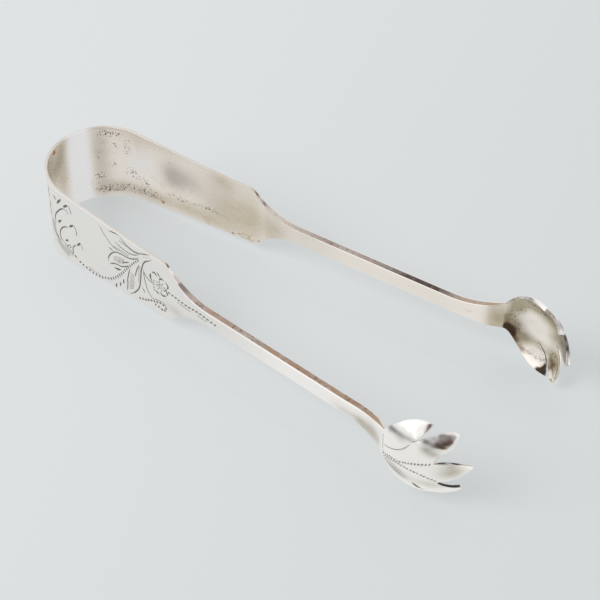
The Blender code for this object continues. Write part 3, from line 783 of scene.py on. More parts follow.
def make_silver(name, look):
    """Silver with a warm film, and with tarnish, stains, pits and dirt where it is marked; some marks
    also put painted shade and painted reflections into its colour.
    """
    material = bpy.data.materials.new(name)
    material.use_nodes = True
    tree = material.node_tree
    shader = tree.nodes["Principled BSDF"]
    plus, minus, times, larger = (
        partial(maths, tree, kind) for kind in ("ADD", "SUBTRACT", "MULTIPLY", "MAXIMUM")
    )
    step, scale, paint = (partial(make, tree) for make in (ramp, scaled, blend_colour))
    place = attribute(tree, "rest", "Vector")
    inner, cut, rim, polish, pale, shade, olive, rusty, stain, pitted = (
        attribute(tree, key) for key in ("inner", "cut", "rim", "polish") + MARK_KINDS
    )
    worn, warm_edge, dark_edge = (attribute(tree, key) for key in EDGE_KEYS)

    cloud = noise(tree, place, CLOUD_SCALE, 4.0, 0.6, 0.4)
    shifted = stretched(tree, place, (1.0, 1.0, 1.3), (0.3, 0.1, 0.7))
    mottle = noise(tree, shifted, MOTTLE_SCALE, 4.0, 0.62)
    grain = noise(tree, place, GRAIN_SCALE, 2.0)
    streak = noise(tree, stretched(tree, place, (0.10, 1.0, 1.0)), STREAK_SCALE, 3.0)

    def marked(mark, spread, low, high):
        """A mark with a mottled border."""
        return step(plus(mark, scale(mottle, spread, -spread / 2)), low, high)

    # A thin warm film, more on the inner faces than on the outer ones
    film = scale(step(cloud, 0.34, 0.70), look["film_patches"], look["film"])
    film = plus(film, times(inner, look["inner_film"]), clamp=True)
    colour = paint(film, paint(polish, look["silver"], look["bright"]), look["warm"])

    # Olive tarnish; shade marks, partly grey tarnish and partly painted shade and painted reflections;
    # pale marks, which on the band's inside paint a reflection; all with soft edges
    colour = paint(times(olive, scale(mottle, 0.7, 0.65), clamp=True), colour, look["olive"])
    colour = paint(times(shade, scale(cloud, 0.9, 0.55), clamp=True), colour, look["shade"])
    colour = paint(pale, colour, look["pale"])
    not_pale = minus(1.0, pale)

    # Brown tarnish where it has gathered and in a few loose patches. The same marks paint a dark line
    # of shade along the near claw's lower outline and painted dark reflections on the claws' middle
    # lobes
    loosened = times(scale(mottle, 1.1, -0.55), scale(stain, -0.8, 1.0))
    darkened = step(plus(stain, loosened), 0.25, 0.80)
    patches = times(step(cloud, 0.58, 0.76), step(mottle, 0.40, 0.66))
    patches = times(times(patches, times(inner, look["patches"])), not_pale)
    brown = larger(patches, scale(darkened, 0.97))
    colour = paint(brown, colour, paint(step(stain, 0.50, 1.0), look["brown"], look["deep"]))
    colour = paint(marked(rusty, 0.7, 0.30, 0.70), colour, look["rust"])

    # The narrow edges: mauve-grey to orange-brown, with darker lengths and specks. On the near claw the
    # darker lengths paint the shade in the slits between its lobes and along its lower outline
    warmth = times(warm_edge, step(mottle, 0.30, 0.60, 0.35, 1.0))
    specks = step(noise(tree, place, SPECK_SCALE, 2.0, 0.5), 0.54, 0.68, 0.0, 0.70)
    dark = larger(marked(dark_edge, 0.5, 0.10, 0.90), specks)
    edge_tone = paint(dark, paint(warmth, look["mauve"], look["tan"]), look["soot_and_painted_shade"])
    edge = times(step(rim, 0.55, 0.95), times(worn, step(mottle, 0.2, 0.5, 0.75, 1.0)))
    colour = paint(edge, colour, edge_tone)

    # Pits in clusters
    inputs = {"Vector": place, "Scale": PIT_SCALE, "Randomness": 1.0}
    cells = add_node(tree, "ShaderNodeTexVoronoi", inputs).outputs["Distance"]
    shifted = stretched(tree, place, (0.5, 0.5, 1.6), (0.9, 0.2, 0.4))
    loose = times(step(noise(tree, shifted, PIT_GROUP_SCALE, 3.0), 0.60, 0.70), not_pale)
    near_marks = step(times(pitted, scale(mottle, 2.0)), 0.25, 0.70)
    cluster = larger(scale(loose, 0.35), near_marks)
    spot = step(plus(cells, scale(mottle, 0.6, -0.3)), 0.16, 0.46, 1.0, 0.0)
    pits = times(times(spot, cluster), times(inner, look["pits"]))
    dirt = larger(pits, times(cut, look["cut_dirt"]))
    tree.links.new(paint(dirt, colour, look["dirt"]), shader.inputs["Base Color"])

    rough = scale(streak, look["streak_rough"], look["rough"] - look["streak_rough"] / 2)
    rough = times(rough, scale(polish, -look["polish_rough"], 1.0))
    rough = plus(rough, times(film, look["film_rough"]))
    rough = plus(rough, times(larger(brown, edge), look["tarnish_rough"]))
    rough = plus(rough, times(dirt, look["dirt_rough"]), clamp=True)
    tree.links.new(rough, shader.inputs["Roughness"])
    shader.inputs["Metallic"].default_value = 1.0

    height = plus(times(grain, look["grain"]), times(streak, look["streaks"]))
    height = plus(minus(height, times(pits, look["pit_depth"])), times(mottle, look["wave"]))
    height = times(height, scale(pale, -look["pale_smooth"], 1.0))
    inputs = {"Height": height, "Distance": RELIEF, "Strength": look["bump"]}
    bump = add_node(tree, "ShaderNodeBump", inputs)
    tree.links.new(bump.outputs["Normal"], shader.inputs["Normal"])
    return material


# Where the metal has darkened, is pale or is pitted, and where the claws' edges are worn; some marks
# also paint shade and reflections into the colour: painted reflections on the band's inside and on the
# claws, and painted shade in the claws' slits and on the far claw's outer faces. Each mark is (a, b,
# spread in a, spread in b, strength), in millimetres. On the band and the arms a is the length from the
# crown and b the height over the middle; on the claws they are the place on the flat blank. The crown's
# marks go on both sides.
MARK_KINDS = ("pale", "shade", "olive", "rusty", "stain", "pitted")
MARKS = {
    # The crown's marks darken the inside of the crown, partly as a painted reflection of the band in
    # itself
    "crown olive": [(-1, 2, 3.4, 9, 0.75), (-7, 6, 3, 5, 0.75)],
    "crown shade": [(-1.6, 8, 3, 5, 0.3), (-0.8, 4, 1.6, 14, 0.25)],
    # The first two marks paint a pale stripe by the crown: a painted reflection of the floor
    "far inside pale": [(3.6, 0, 1.9, 60, 1.25), (6.8, 0, 1.9, 60, 1.25), (24, 2, 5, 6, 0.6)],
    "far inside shade": [
        (11.6, 8, 2.6, 7, 0.45), (12, -4, 2.8, 8, 0.55), (34.4, 2.2, 3.8, 4.6, 0.95),
        (39.6, 2.6, 4, 4, 0.7), (47, 0, 5, 8, 0.25), (22, -9.5, 12, 2.2, 0.5), (30, 10, 7, 1.5, 0.2),
        (79, 0, 8, 5, 0.25), (98, 0, 16, 6, 0.12), (119, 0, 10, 6, 0.14),
    ],
    "far inside olive": [
        (11, 2, 2.2, 14, 0.4), (15, -8.5, 5, 2, 0.6), (26, -8, 7, 2.2, 0.6), (40, -7.5, 9, 2.6, 0.7),
        (52.5, -2, 7, 9, 0.75), (60.5, -1, 4, 8, 0.55), (67.5, -1, 4.5, 5, 0.55), (51, 8, 4, 2.5, 0.45),
        (133.2, -0.8, 2, 6, 0.8), (136.4, -1, 2.2, 6, 0.9),
    ],
    "far inside rusty": [
        (11, -10.3, 2, 0.8, 0.45), (18.5, -9.9, 3, 0.7, 0.4), (30.1, -9.4, 1, 0.7, 0.42),
        (44, -7.6, 2.4, 0.8, 0.34), (48.2, -8.4, 1.8, 0.8, 0.36), (57.4, -7.8, 2, 0.9, 0.46),
        (60.4, -6.9, 1.4, 0.8, 0.42),
    ],
    "far inside stain": [
        (11.5, -9.6, 2.6, 1, 0.55), (16.3, -9.9, 3, 0.9, 0.55), (22.7, -8.8, 4.4, 1, 0.5),
        (28.5, -8.4, 2.6, 0.8, 0.4), (30.6, -9.1, 0.6, 0.5, 0.85), (32.4, -5.4, 2, 0.8, 0.35),
        (41.5, -4.7, 3, 0.8, 0.4), (45.5, -4.1, 2.5, 0.7, 0.45), (49.7, -4.4, 2.5, 0.7, 0.4),
        (53.8, -9.2, 0.6, 0.5, 0.8), (56.5, -9.2, 1.2, 0.7, 0.45), (59.4, -9, 1.6, 0.8, 0.55),
        (62.6, -8, 0.9, 0.6, 0.9), (53.4, 7.6, 3, 1.3, 0.25), (67.5, -4.6, 2.5, 0.8, 0.35),
        (136.2, -3.4, 1.3, 1.3, 0.75),
    ],
    "far inside pitted": [
        (13, 10.4, 2.2, 1, 1.3), (16, 9.8, 2.4, 1.1, 1.3), (19.1, 8.6, 1.4, 0.9, 1.1),
        (15.6, 5.2, 1, 1.7, 1.2), (19.4, 5, 1.8, 2.4, 0.7), (14.9, -0.8, 1.3, 1.1, 0.9),
        (10.6, 1.8, 0.8, 0.8, 0.9), (11, -4.6, 1.8, 1.4, 1.1), (20.4, -3, 2.2, 1.8, 1.1),
        (24.5, -4.4, 1.8, 1.4, 1.1), (13, -9.6, 3.4, 1.2, 1.4), (20, -8.6, 4.5, 1.4, 1.4),
        (27, -7.6, 4, 1.2, 1.2), (35.5, -5.2, 5, 1.1, 0.9), (46, -4.2, 4, 1, 0.9),
        (58, -8.4, 4, 0.9, 0.9),
    ],
    "far outside shade": [(128, -1, 6, 2, 0.5)],
    "near inside pale": [(12, -6, 5, 4, 0.4)],
    "near inside shade": [
        (16, 2, 5, 6, 0.35), (33, -6, 12, 3, 0.45), (50, 4, 8, 4, 0.3), (69, 0, 4, 4, 0.35),
        (132, 0, 5, 5, 0.4),
    ],
    "near inside olive": [(57, 0, 7, 9, 0.5)],
    "near inside rusty": [(3.8, 11.2, 0.8, 0.9, 1.3), (5.6, 9.6, 1.2, 1.2, 0.55)],
    "near inside stain": [
        (8, -10.2, 4, 1, 0.45), (19, -9.4, 3, 1, 0.5), (29, -8.8, 3, 0.9, 0.45), (41, 9, 2, 0.8, 0.4),
        (52, -8.6, 2.5, 0.9, 0.45), (62, -7.4, 2, 0.9, 0.55), (70, -3, 2, 1, 0.4),
        (135, 2, 1.4, 1.4, 0.55),
    ],
    "near inside pitted": [
        (9, 6, 1.8, 1.6, 0.8), (14, -4, 2, 1.4, 0.7), (21, 7.5, 2.4, 1.2, 0.8), (27, -6.5, 4, 1.4, 0.9),
        (44, -2, 3, 1.4, 0.6), (133, 1.5, 2.5, 2, 0.6),
    ],
    "near outside shade": [
        (64.5, -4.6, 3.6, 1.6, 0.3), (84, 0, 14, 6, 0.12), (122, -1, 4, 1.6, 0.4),
        (128, -1, 3, 1.6, 0.95), (132, -0.6, 2.4, 2.6, 0.95), (134.4, -1.6, 1.3, 2.4, 0.5),
    ],
    "near outside olive": [
        (16.5, 0, 1.6, 14, 0.3), (62.8, -4.8, 3, 1.4, 0.25), (130, -0.8, 3.4, 1.8, 0.45),
        (136, 1.5, 0.9, 2.4, 0.2),
    ],
    "near outside stain": [(126.5, -1.2, 1.8, 0.8, 0.3), (130.6, -0.4, 1.8, 1, 0.34)],
    "far claw rim worn": [
        (2, 6, 4, 3, 1), (6.8, 10.9, 3.4, 2.2, 1), (16.2, 6.8, 2.8, 3.4, 1.3), (21, 9.6, 3.6, 2.4, 1.2),
        (21, 4, 4, 2.4, 1.2), (26, 0, 2, 1.5, 0.8), (23.4, 2.6, 2, 1.2, 0.6), (14.6, -8.6, 3.6, 2, 0.7),
        (17.8, -11.6, 1.6, 1.4, 1), (23, -8, 2.4, 2.4, 0.7),
    ],
    "far claw rim warm_edge": [(15.4, 6.6, 2.6, 2, 1), (3, 6, 3, 2, 0.3)],
    "far claw rim dark_edge": [
        (8.2, 11.5, 2, 1.2, 0.5), (15, 6.4, 2, 1.4, 0.5), (24, 6.4, 2.6, 2.6, 1),
        (20.4, 3.6, 1.6, 1, 0.7), (23.4, 2.5, 1.8, 0.9, 0.7), (13.8, -7.9, 2.2, 1.2, 0.6),
        (17.8, -11.6, 1.4, 1.2, 1),
    ],
    "far claw outside stain": [(2, -3.6, 1.2, 1, 0.5)],
    # Painted shade: the outer faces of the middle and centre lobes, seen past the rim, are darkened
    "far claw outside shade": [
        (17, 6, 2.8, 3, 0.8), (21.4, 8.4, 3, 2.6, 0.5), (20.6, 1, 2.6, 2.4, 0.85),
        (23, -4.4, 2, 2.4, 0.8), (4.6, 8.2, 3, 1.2, 0.55), (22.4, 4.6, 2.6, 2, 0.8),
        (19.4, 5.2, 1.8, 1.6, 0.6), (23.6, 2, 2, 1.8, 0.9), (21.8, 10, 2.4, 1.8, 0.45),
    ],
    "far claw hollow pale": [
        (7.4, 0.2, 2.6, 1.5, 0.5), (10, -2.2, 2.2, 1.5, 0.45), (11, -9.6, 2.4, 1.6, 0.95),
        (8.6, -8.8, 1.4, 0.9, 0.7),
    ],
    "far claw hollow olive": [
        (1, 0, 2.6, 2.6, 0.95), (2, 3.8, 2.2, 2, 0.4), (4, 7, 4, 2, 0.9), (9, 6.6, 4, 2.4, 0.9),
        (13.5, 4.5, 3.4, 3, 0.85), (18, 3, 3, 3.6, 0.9), (3, -4, 2.6, 4, 0.95), (6.6, -6, 2.6, 2, 0.85),
        (10.5, -6, 2.4, 1.2, 0.65), (16.6, -6.4, 3, 2.4, 0.9), (20, -7.5, 3, 2.6, 0.95),
        (15.6, -1, 2.6, 2.2, 0.6), (21, -1, 3, 3, 0.9), (3.8, 4.2, 2.2, 2.2, 0.8),
    ],
    "far claw hollow rusty": [
        (16.4, -4.4, 1.2, 0.8, 0.36), (17.4, -5.2, 1, 0.8, 0.34), (14.9, 6.6, 1.4, 0.6, 0.7),
        (12, 7.6, 1.4, 0.5, 0.5), (15.9, 4.6, 0.8, 0.9, 0.5),
    ],
    # The marks on the centre lobe, about 19 to 23 mm along and within 3 mm of the middle, paint its
    # dark as a painted reflection
    "far claw hollow shade": [
        (18.8, 0.2, 1.9, 1.7, 0.75), (21.6, 2, 2.2, 2, 0.85), (22.4, -2.6, 1.6, 1.8, 0.5),
        (20.5, 9, 3.5, 2.5, 0.4), (12.6, -7, 2, 0.5, 0.6), (15.4, -9, 1.6, 0.6, 0.6),
        (1.6, 2.6, 1, 1.8, 0.25), (4.6, 3.2, 1, 2.4, 0.22), (13.4, 6, 2.4, 1, 0.45),
        (9.5, 8.2, 3, 0.9, 0.25), (4, -2.2, 2.6, 2.6, 0.4), (6.4, -5.4, 2.4, 1.8, 0.35),
        (22.8, 1, 2.2, 3, 0.6),
    ],
    # The marks at (19.4, 0), (21.6, 2.4) and (22.6, 1.6) darken the centre lobe as a painted reflection
    "far claw hollow stain": [
        (2, -3.4, 3.4, 3, 0.26), (0.6, -3.6, 1.5, 1.8, 0.75), (1.9, -4.4, 1.7, 1.5, 0.6),
        (2.7, -5.8, 1.3, 1.1, 0.5), (3.8, -7.2, 1.5, 1.1, 0.5), (5.1, -8.7, 1.5, 1, 0.42),
        (6.5, -10.1, 1.5, 0.9, 0.4), (0.9, 0, 1.6, 2, 0.5), (3.8, -3.4, 2.2, 2.2, 0.34),
        (5.8, -6.6, 2.4, 1.8, 0.25), (16.9, -11.4, 1.6, 1.4, 1.4), (14.4, -12.5, 1.6, 0.9, 1.1),
        (15.9, -10, 1.2, 0.8, 0.6), (18.2, -9, 1.5, 1.5, 0.55), (19.4, -7.4, 1.5, 1.4, 0.5),
        (16.6, -7.4, 1.6, 1.2, 0.3), (23, -9.6, 0.9, 0.5, 0.6), (12.8, 7.4, 2.4, 0.5, 0.5),
        (15.4, 5.8, 1.6, 0.7, 0.5), (22.6, 1.6, 1.6, 0.8, 0.5), (19.4, 0, 1.7, 1.6, 0.52),
        (21.6, 2.4, 1.8, 1.4, 0.5), (15.6, -11.5, 1, 0.8, 0.45), (16.4, -7.9, 1.6, 1.2, 0.32),
        (15.4, 9.9, 2.2, 0.9, 0.5),
    ],
    "far claw hollow pitted": [
        (2.5, 1.5, 2.2, 2.6, 0.8), (5, 3.4, 1.6, 1, 0.9), (4, -3.5, 2, 2, 0.9),
        (11.5, 5.6, 3.5, 1.3, 1.1), (17.5, -6.5, 2.5, 2, 0.9), (19.5, 1, 3, 1.6, 0.7),
        (11.6, -9.4, 2.4, 1.6, 0.6), (13.8, -9, 1.4, 1.2, 0.5),
    ],
    # The rim's marks on the slits between lobes and along the lower outline paint their shade
    "near claw rim worn": [
        (4.4, 9, 2.4, 2.8, 1.2), (14.8, 11.6, 1.4, 1.8, 0.8), (18.4, 3.9, 1.8, 0.9, 1.3),
        (22.4, 3.1, 2.2, 0.9, 1.2), (19.6, -4, 2.4, 1.6, 1.5), (21.6, -5.6, 1.6, 1.2, 1.4),
        (23.6, -7.4, 2.2, 1.8, 1.5), (12.4, -8.4, 1.8, 1.8, 1.5), (14.8, -10.4, 1.4, 1.8, 1.4),
        (21, 7.2, 2.4, 1.6, 0.8),
    ],
    "near claw rim warm_edge": [(21, 7.2, 2.4, 1.6, 0.8), (22.4, 3.1, 1.4, 0.9, 0.4)],
    "near claw rim dark_edge": [
        (4, 8.8, 1.8, 2.4, 0.7), (18.4, 3.9, 1.6, 0.9, 1.3), (23, 2.8, 2.6, 0.9, 1.2),
        (19.6, -4, 2.4, 1.6, 1.5), (21.6, -5.6, 1.6, 1.2, 1.4), (23.6, -7.4, 2.2, 1.8, 1.5),
        (12.4, -8.4, 1.8, 1.8, 1.5), (14.8, -10.4, 1.4, 1.8, 1.4), (20.6, 6.4, 1, 0.8, 0.5),
    ],
    # Mostly painted reflections: the grey band low on the side lobe, about 3 to 10 mm along, and the
    # dark of the upper middle lobe, about 14 to 21 mm along
    "near claw outside shade": [
        (3.8, 7.3, 1.5, 0.8, 0.85), (6.4, 7.6, 2.2, 0.8, 0.7), (9.8, 7.9, 1.8, 0.7, 0.5),
        (2.9, 6.6, 1, 0.9, 0.5), (4.6, 10.6, 0.7, 0.7, 0.5), (6.6, 6.4, 2.2, 1, 0.25),
        (14.3, 13, 1, 0.9, 0.45), (14, 8.9, 1.5, 0.8, 0.95), (16.4, 8.4, 1.7, 0.9, 0.8),
        (15.6, 10.1, 1.4, 0.8, 0.55), (17.8, 11.3, 1.6, 0.8, 0.55), (21.2, 10.8, 1.6, 0.9, 0.5),
        (19.6, 9.4, 2.4, 1.2, 0.55), (14.6, 6.9, 1.6, 0.9, 0.6), (16.6, 6, 1.6, 0.8, 0.35),
        (18, 8.4, 1.6, 0.7, 0.45), (21.2, 2.6, 1.8, 0.8, 0.35), (6, -5.2, 4.4, 1.9, 0.6),
    ],
    "near claw outside olive": [
        (20.6, 0.8, 3.2, 2.4, 0.55), (22.6, 0.6, 2, 1.4, 0.25), (15.6, 6.2, 2.6, 1.4, 0.35),
        (16.2, -4.6, 4, 1.6, 0.42), (12, 2, 8, 5, 0.07),
    ],
    # Painted: (18.9, 8), (20.6, 8.8) and (16.4, 8.2) deepen the dark reflection on the upper middle
    # lobe, and the row from (11.6, -6.6) paints a dark line of shade along the lower outline
    "near claw outside stain": [
        (0.2, 3.4, 0.8, 0.8, 0.4), (18.9, 8, 1.3, 0.6, 0.8), (20.6, 8.8, 1, 0.8, 0.45),
        (16.4, 8.2, 1.6, 0.35, 0.4), (11.6, -6.6, 0.5, 0.35, 1), (12.2, -7.1, 0.5, 0.35, 1),
        (12.8, -7.7, 0.5, 0.35, 1), (13.4, -8.3, 0.5, 0.35, 1), (14, -8.8, 0.5, 0.35, 1),
        (14.6, -9.2, 0.5, 0.35, 1), (15.1, -9.6, 0.5, 0.35, 0.9),
    ],
    "near claw hollow shade": [(3, 0, 4, 6, 0.35), (10, 0, 6, 5, 0.2), (18, 6, 4, 4, 0.3)],
    "near claw hollow olive": [(4, 0, 5, 7, 0.7), (12, 3, 5, 5, 0.6), (20, 0, 5, 3, 0.6)],
    "near claw hollow stain": [
        (11, 6.6, 1.6, 1.2, 0.4), (17.2, 3.4, 1.8, 1, 0.5), (11, -6.6, 1.6, 1.2, 0.5),
        (17.2, -3.4, 1.8, 1, 0.5), (1.6, 3.6, 1.6, 1.8, 0.7), (14, -9, 3.5, 2.5, 0.6),
        (20, -6.5, 4, 2.2, 0.8), (21, 0, 3.5, 1.6, 0.4), (24, -8.5, 1.6, 1.4, 0.8),
    ],
    "near claw hollow pitted": [(3, -2, 2.5, 2.5, 0.8), (8, 2, 3, 3, 0.5)],
}

# Wear of the narrow edges of the band and the arms: (length, how worn, how warm, how dark)
EDGE_KEYS = ("worn", "warm_edge", "dark_edge")
EDGE_WEAR = {
    "far": [
        (0, 0.12, 0.5, 0), (30, 0.1, 0.5, 0), (59.5, 0.15, 0.4, 0), (60.9, 0.7, 0, 0.4),
        (62, 0.95, 0, 0.8), (63, 0.6, 0, 0.2), (64.3, 0.95, 0, 0.6), (66.5, 0.5, 0.2, 0),
        (70, 0.5, 0.2, 0), (78, 0.7, 0.2, 0.1), (85, 0.95, 0.15, 0.35), (88, 0.8, 0.1, 0.1),
        (95, 0.9, 0.1, 0.25), (103, 0.95, 0.1, 0.45), (107.5, 1, 0, 0.75), (112, 1, 0, 0.9),
        (117, 1, 0, 0.85), (121, 0.95, 0.2, 0.55), (124.5, 0.85, 0.7, 0.15), (130, 0.8, 0.9, 0.1),
        (135.9, 0.75, 0.9, 0),
    ],
    "near": [
        (0, 0.04, 0, 0), (59.8, 0.04, 0, 0), (60.7, 0.8, 0, 0.6), (61.4, 0.95, 0, 0.9),
        (61.9, 0.1, 0, 0), (62.9, 0.1, 0, 0), (63.5, 0.55, 0, 0.1), (64.8, 0.6, 0, 0.1),
        (65.4, 0.95, 0, 0.6), (67.5, 0.95, 0.1, 0.5), (69, 0.9, 0.3, 0.2), (73, 0.85, 0.2, 0.1),
        (76.5, 0.95, 0.8, 0.2), (82, 1, 0.5, 0.15), (88, 0.9, 0.2, 0.1), (93, 0.9, 0.3, 0.25),
        (97, 1, 0.9, 0.2), (105, 0.95, 0.9, 0.3), (115, 0.95, 0.9, 0.25), (124, 1, 0.9, 0.3),
        (128, 0.95, 0.9, 0.3), (131, 0.9, 1, 0.1), (135.9, 0.85, 1, 0),
    ],
}

# The claws are cut by hand, so each lobe has its own outline: control points of its curves, in
# millimetres on the flat blank, for the upper and the lower half
LOBES = {
    "near": {
        "centre_tip": (26.9, 0.4),
        "upper": dict(
            outer_notch=(10.3, 7.2), inner_notch=(16.9, 3.05), side_tip=(15.1, 13.5),
            middle_tip=(24.2, 10.95), side_out=((2.1, 5.1), (4.8, 15.5)), side_in=(13.5, 10.1),
            middle_out=((12.5, 9), (19.5, 13.95)), middle_in=((16.9, 6.4), (21.8, 5.5)),
            centre=((20.1, 4.2), (22.6, 3.4)),
        ),
        "lower": dict(
            outer_notch=(10.6, 7.1), inner_notch=(18, 3.25), side_tip=(16, 13.1), middle_tip=(25.2, 9),
            side_out=((0.8, 5.8), (5, 15.1)), side_in=(11.9, 10),
            middle_out=((13.3, 7.9), (19.6, 14.3)), middle_in=((18.6, 4.9), (22.4, 6.3)),
            centre=((18.7, 3.2), (23.2, 2.7)),
        ),
    },
    "far": {
        "centre_tip": (26.9, -0.2),
        "upper": dict(
            outer_notch=(10, 7.9), inner_notch=(17.1, 4.3), side_tip=(15.4, 12.9),
            middle_tip=(25.1, 9.7), side_out=((0.8, 5.3), (5.7, 13.4)), side_in=(12.7, 9.6),
            middle_out=((12.3, 9.6), (19.1, 12.2)), middle_in=((18.7, 5.8), (22.6, 6.15)),
            centre=((19.1, 5.1), (23, 3.2)),
        ),
        "lower": dict(
            outer_notch=(10.5, 5.7), inner_notch=(16.8, 2.6), side_tip=(18.1, 12.2),
            middle_tip=(24.4, 10.3), side_out=((3.2, 4.65), (4.9, 15.9)), side_in=(14.7, 7.8),
            middle_out=((13.5, 6.6), (20, 14)), middle_in=((18.9, 5.2), (22.4, 6.1)),
            centre=((20.2, 3.4), (23.4, 4.2)),
        ),
    },
}

BAND_LOOK = dict(
    silver=(0.80, 0.795, 0.78, 1.0), bright=(0.955, 0.94, 0.915, 1.0), warm=(0.92, 0.85, 0.765, 1.0),
    pale=(0.90, 0.895, 0.905, 1.0), shade=(0.55, 0.51, 0.455, 1.0), olive=(0.56, 0.475, 0.35, 1.0),
    brown=(0.44, 0.33, 0.22, 1.0), deep=(0.20, 0.13, 0.08, 1.0), rust=(0.58, 0.29, 0.13, 1.0),
    mauve=(0.44, 0.365, 0.345, 1.0), tan=(0.47, 0.30, 0.18, 1.0), soot_and_painted_shade=(0.11, 0.08, 0.07, 1.0),
    dirt=(0.11, 0.09, 0.07, 1.0), film=0.03, film_patches=0.14, inner_film=0.70, patches=0.40,
    pits=1.0, cut_dirt=0.90, rough=0.20, streak_rough=0.10, polish_rough=0.5, film_rough=0.08,
    tarnish_rough=0.14, dirt_rough=0.30, grain=0.25, streaks=0.4, pit_depth=6.0, wave=1.3,
    pale_smooth=0.85, bump=0.4,
)
ARM_LOOK = dict(BAND_LOOK, olive=(0.48, 0.415, 0.295, 1.0), pits=0.8)
CLAW_LOOK = dict(
    BAND_LOOK, pale=(0.745, 0.705, 0.675, 1.0), shade=(0.24, 0.22, 0.21, 1.0),
    olive=(0.42, 0.37, 0.255, 1.0), brown=(0.27, 0.20, 0.13, 1.0), deep=(0.045, 0.024, 0.011, 1.0),
    mauve=(0.47, 0.44, 0.43, 1.0), soot_and_painted_shade=(0.05, 0.04, 0.035, 1.0), inner_film=0.60, patches=0.7,
    pits=0.9,
)

band_silver = make_silver("band_silver_worn", BAND_LOOK)
arm_silver = make_silver("arm_silver_worn", ARM_LOOK)
claw_silver = make_silver("claw_silver_worn", CLAW_LOOK)

# Pieces
engraving = crown_scrolls() + leaf_spray() + daisy() + shoulder_lines()

band_stations = stations_between(
    (0.0, 0.00004, 1.0), (0.00004, 0.0158, COARSE_STEP), (0.0158, 0.0300, FINE_STEP),
    (0.0300, 0.0360, FINE_STEP * 2), (0.0360, SEAM_AT, FINE_STEP),
)
band_ring = ring_template(186, 36, 3, 2)
arm_stations = stations_between(
    (SEAM_AT, 0.0800, FINE_STEP), (0.0800, ROOT_AT - FLARE_LENGTH, COARSE_STEP),
    (ROOT_AT - FLARE_LENGTH, ROOT_AT, FLARE_STEP),
)
arm_ring = ring_template(64, 24, 4, 6)

for side_name, way in (("near", -1.0), ("far", 1.0)):
    body = side_name + "_side"
    band = make_skin(
        side_name + "_band", side_name, band_stations, band_ring, BAND_EDGE_ROUND, 0.0, engraving
    )
    band.data.materials.append(band_silver)
    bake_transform(band)
    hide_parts("bow_spring")

    arm = make_skin(
        side_name + "_arm_bar", side_name, arm_stations, arm_ring, ARM_EDGE_ROUND, ARM_CROWNING,
        engraving,
    )
    arm.data.materials.append(arm_silver)
    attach(arm, body)
    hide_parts(side_name + "_arm")

    claw = make_claw(side_name + "_claw_sheet", side_name)
    claw.data.materials.append(claw_silver)
    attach(claw, body)
    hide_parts(side_name + "_claw")


# Floor, light and camera


# Painted light on the floor: its tone runs from a lighter side to a darker side
PAINTED_LIT_SIDE = (0.706, 0.735, 0.742, 1.0)
PAINTED_SHADED_SIDE = (0.644, 0.676, 0.684, 1.0)
METAL_SIDE = (0.87, 0.875, 0.87, 1.0)
BACKDROP = (0.70, 0.735, 0.74, 1.0)
LOW_SKY = (0.93, 0.93, 0.93, 1.0)
HIGH_SKY = (1.03, 1.03, 1.03, 1.0)
FLOOR_REACH = 4.0
FLOOR_ROUGHNESS = 0.10
OWN_SEEN = 0.64
OWN_IN_METAL = 0.85
FILL_SHARE = 0.75
SOFTBOX_AT = (-0.574, -0.684, 0.803)
SOFTBOX_SIZE = 0.80
SOFTBOX_POWER = 9.0

# Zones of the sky: (azimuth, half angle, lowest and highest height, softness of the sides in
# degrees and of the heights), and their tone. One window is brighter, the rest are darker.
ZONES = (
    ((128, 26, 0.35, 0.85, 12, 0.15), (0.82, 0.81, 0.80, 1.0)),
    ((-121, 26, -0.10, 0.90, 3, 0.08), (1.12, 1.12, 1.12, 1.0)),
    ((-49, 22, -0.20, 0.86, 9, 0.12), (0.42, 0.39, 0.39, 1.0)),
    ((-44, 18, -0.20, 0.42, 9, 0.22), (0.19, 0.125, 0.125, 1.0)),
)


def make_floor():
    """A pale board with painted light: its tone is painted a little lighter on one side. Seen straight
    or in the metal, part of its tone is its own, which keeps the object's shadow faint."""
    mesh = bpy.data.meshes.new("floor")
    corners = [(x * FLOOR_REACH, y * FLOOR_REACH, 0.0) for x, y in ((-1, -1), (1, -1), (1, 1), (-1, 1))]
    mesh.from_pydata(corners, [], [(0, 1, 2, 3)])
    material = bpy.data.materials.new("pale_board")
    material.use_nodes = True
    tree = material.node_tree
    shader = tree.nodes["Principled BSDF"]
    place = add_node(tree, "ShaderNodeTexCoord").outputs["Object"]
    along = add_node(tree, "ShaderNodeSeparateXYZ", {0: place}).outputs["X"]
    # Painted light: the board is painted lighter on one side and darker on the other
    tone = blend_colour(tree, ramp(tree, along, -0.16, 0.18), PAINTED_LIT_SIDE, PAINTED_SHADED_SIDE)
    tree.links.new(tone, shader.inputs["Base Color"])
    shader.inputs["Roughness"].default_value = FLOOR_ROUGHNESS
    rays = add_node(tree, "ShaderNodeLightPath").outputs
    own = blend_colour(tree, rays["Is Camera Ray"], METAL_SIDE, tone)
    glow = add_node(tree, "ShaderNodeEmission", {"Color": own}).outputs["Emission"]
    in_metal = scaled(tree, rays["Is Glossy Ray"], OWN_IN_METAL)
    seen = maths(tree, "ADD", scaled(tree, rays["Is Camera Ray"], OWN_SEEN), in_metal)
    mixed = add_node(tree, "ShaderNodeMixShader", {0: seen, 1: shader.outputs[0], 2: glow})
    tree.links.new(mixed.outputs[0], tree.nodes["Material Output"].inputs["Surface"])
    mesh.materials.append(material)
    floor = add_object("floor", mesh)


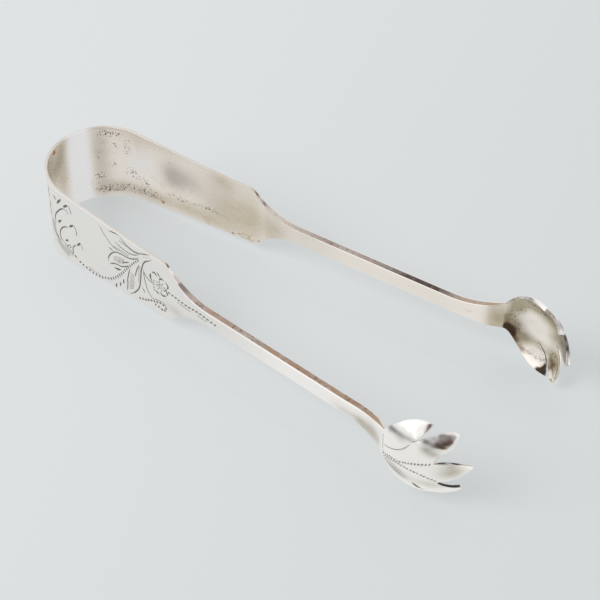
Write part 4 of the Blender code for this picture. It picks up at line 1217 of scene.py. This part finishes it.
def zone_share(tree, direction, azimuth, half, low, high, soft, soft_height):
    """How much of a soft-edged zone of the sky a direction sees."""
    x, y = math.cos(math.radians(azimuth)), math.sin(math.radians(azimuth))
    beside, toward = (
        add_node(
            tree, "ShaderNodeVectorMath", {0: direction, 1: aim}, operation="DOT_PRODUCT"
        ).outputs["Value"]
        for aim in ((-y, x, 0.0), (x, y, 0.0))
    )
    turn = maths(tree, "ABSOLUTE", maths(tree, "ARCTAN2", beside, toward))
    across = ramp(tree, turn, math.radians(half - soft), math.radians(half + soft), 1.0, 0.0)
    height = add_node(tree, "ShaderNodeSeparateXYZ", {0: direction}).outputs["Z"]
    above = ramp(tree, height, low - soft_height, low + soft_height)
    below = ramp(tree, height, high - soft_height, high + soft_height, 1.0, 0.0)
    return maths(tree, "MULTIPLY", across, maths(tree, "MULTIPLY", above, below))


def make_world():
    """An even pale studio with a few soft zones. Seen straight it is the backdrop."""
    world = bpy.data.worlds.new("soft_studio")
    bpy.context.scene.world = world
    world.use_nodes = True
    tree = world.node_tree
    background = tree.nodes["Background"]
    direction = add_node(tree, "ShaderNodeTexCoord").outputs["Generated"]
    height = add_node(tree, "ShaderNodeSeparateXYZ", {0: direction}).outputs["Z"]
    colour = blend_colour(tree, ramp(tree, height, -0.1, 1.0), LOW_SKY, HIGH_SKY)
    for zone, tone in ZONES:
        colour = blend_colour(tree, zone_share(tree, direction, *zone), colour, tone)
    rays = add_node(tree, "ShaderNodeLightPath").outputs
    shown = blend_colour(tree, rays["Is Camera Ray"], colour, BACKDROP)
    tree.links.new(shown, background.inputs["Color"])
    strength = scaled(tree, rays["Is Diffuse Ray"], FILL_SHARE - 1.0, 1.0)
    tree.links.new(strength, background.inputs["Strength"])


def make_softbox():
    light = bpy.data.lights.new("softbox", "AREA")
    light.shape = "DISK"
    light.size = SOFTBOX_SIZE
    light.energy = SOFTBOX_POWER
    lamp = add_object("softbox", light)
    lamp.location = SOFTBOX_AT
    lamp.visible_glossy = False
    aim = Vector((0.0, 0.0, 0.01)) - lamp.location
    lamp.rotation_euler = aim.to_track_quat("-Z", "Y").to_euler()


def make_camera():
    """The camera fitted to the outlines, given in the tongs' own frame."""
    elevation, azimuth, roll = (math.radians(v) for v in (44.343, 37.562, -0.545))
    target = Vector((0.08111, -0.00017, 0.0))
    distance = 0.54732
    level = Vector((math.cos(azimuth), math.sin(azimuth), 0.0))
    ahead = Vector((math.sin(azimuth), -math.cos(azimuth), 0.0))
    back = ahead * math.cos(elevation) + Vector((0.0, 0.0, math.sin(elevation)))
    up = back.cross(level)
    right = level * math.cos(roll) + up * math.sin(roll)
    top = -level * math.sin(roll) + up * math.cos(roll)
    turn = Matrix((right, top, back)).transposed().to_4x4()
    data = bpy.data.cameras.new("camera")
    data.sensor_width = 36.0
    data.lens = 127.83
    data.clip_start = 0.01
    camera = add_object("camera", data)
    camera.matrix_world = PLACE @ Matrix.Translation(target + back * distance) @ turn
    bpy.context.scene.camera = camera


make_floor()
make_world()
make_softbox()
make_camera()
bpy.context.scene.view_settings.view_transform = "Standard"
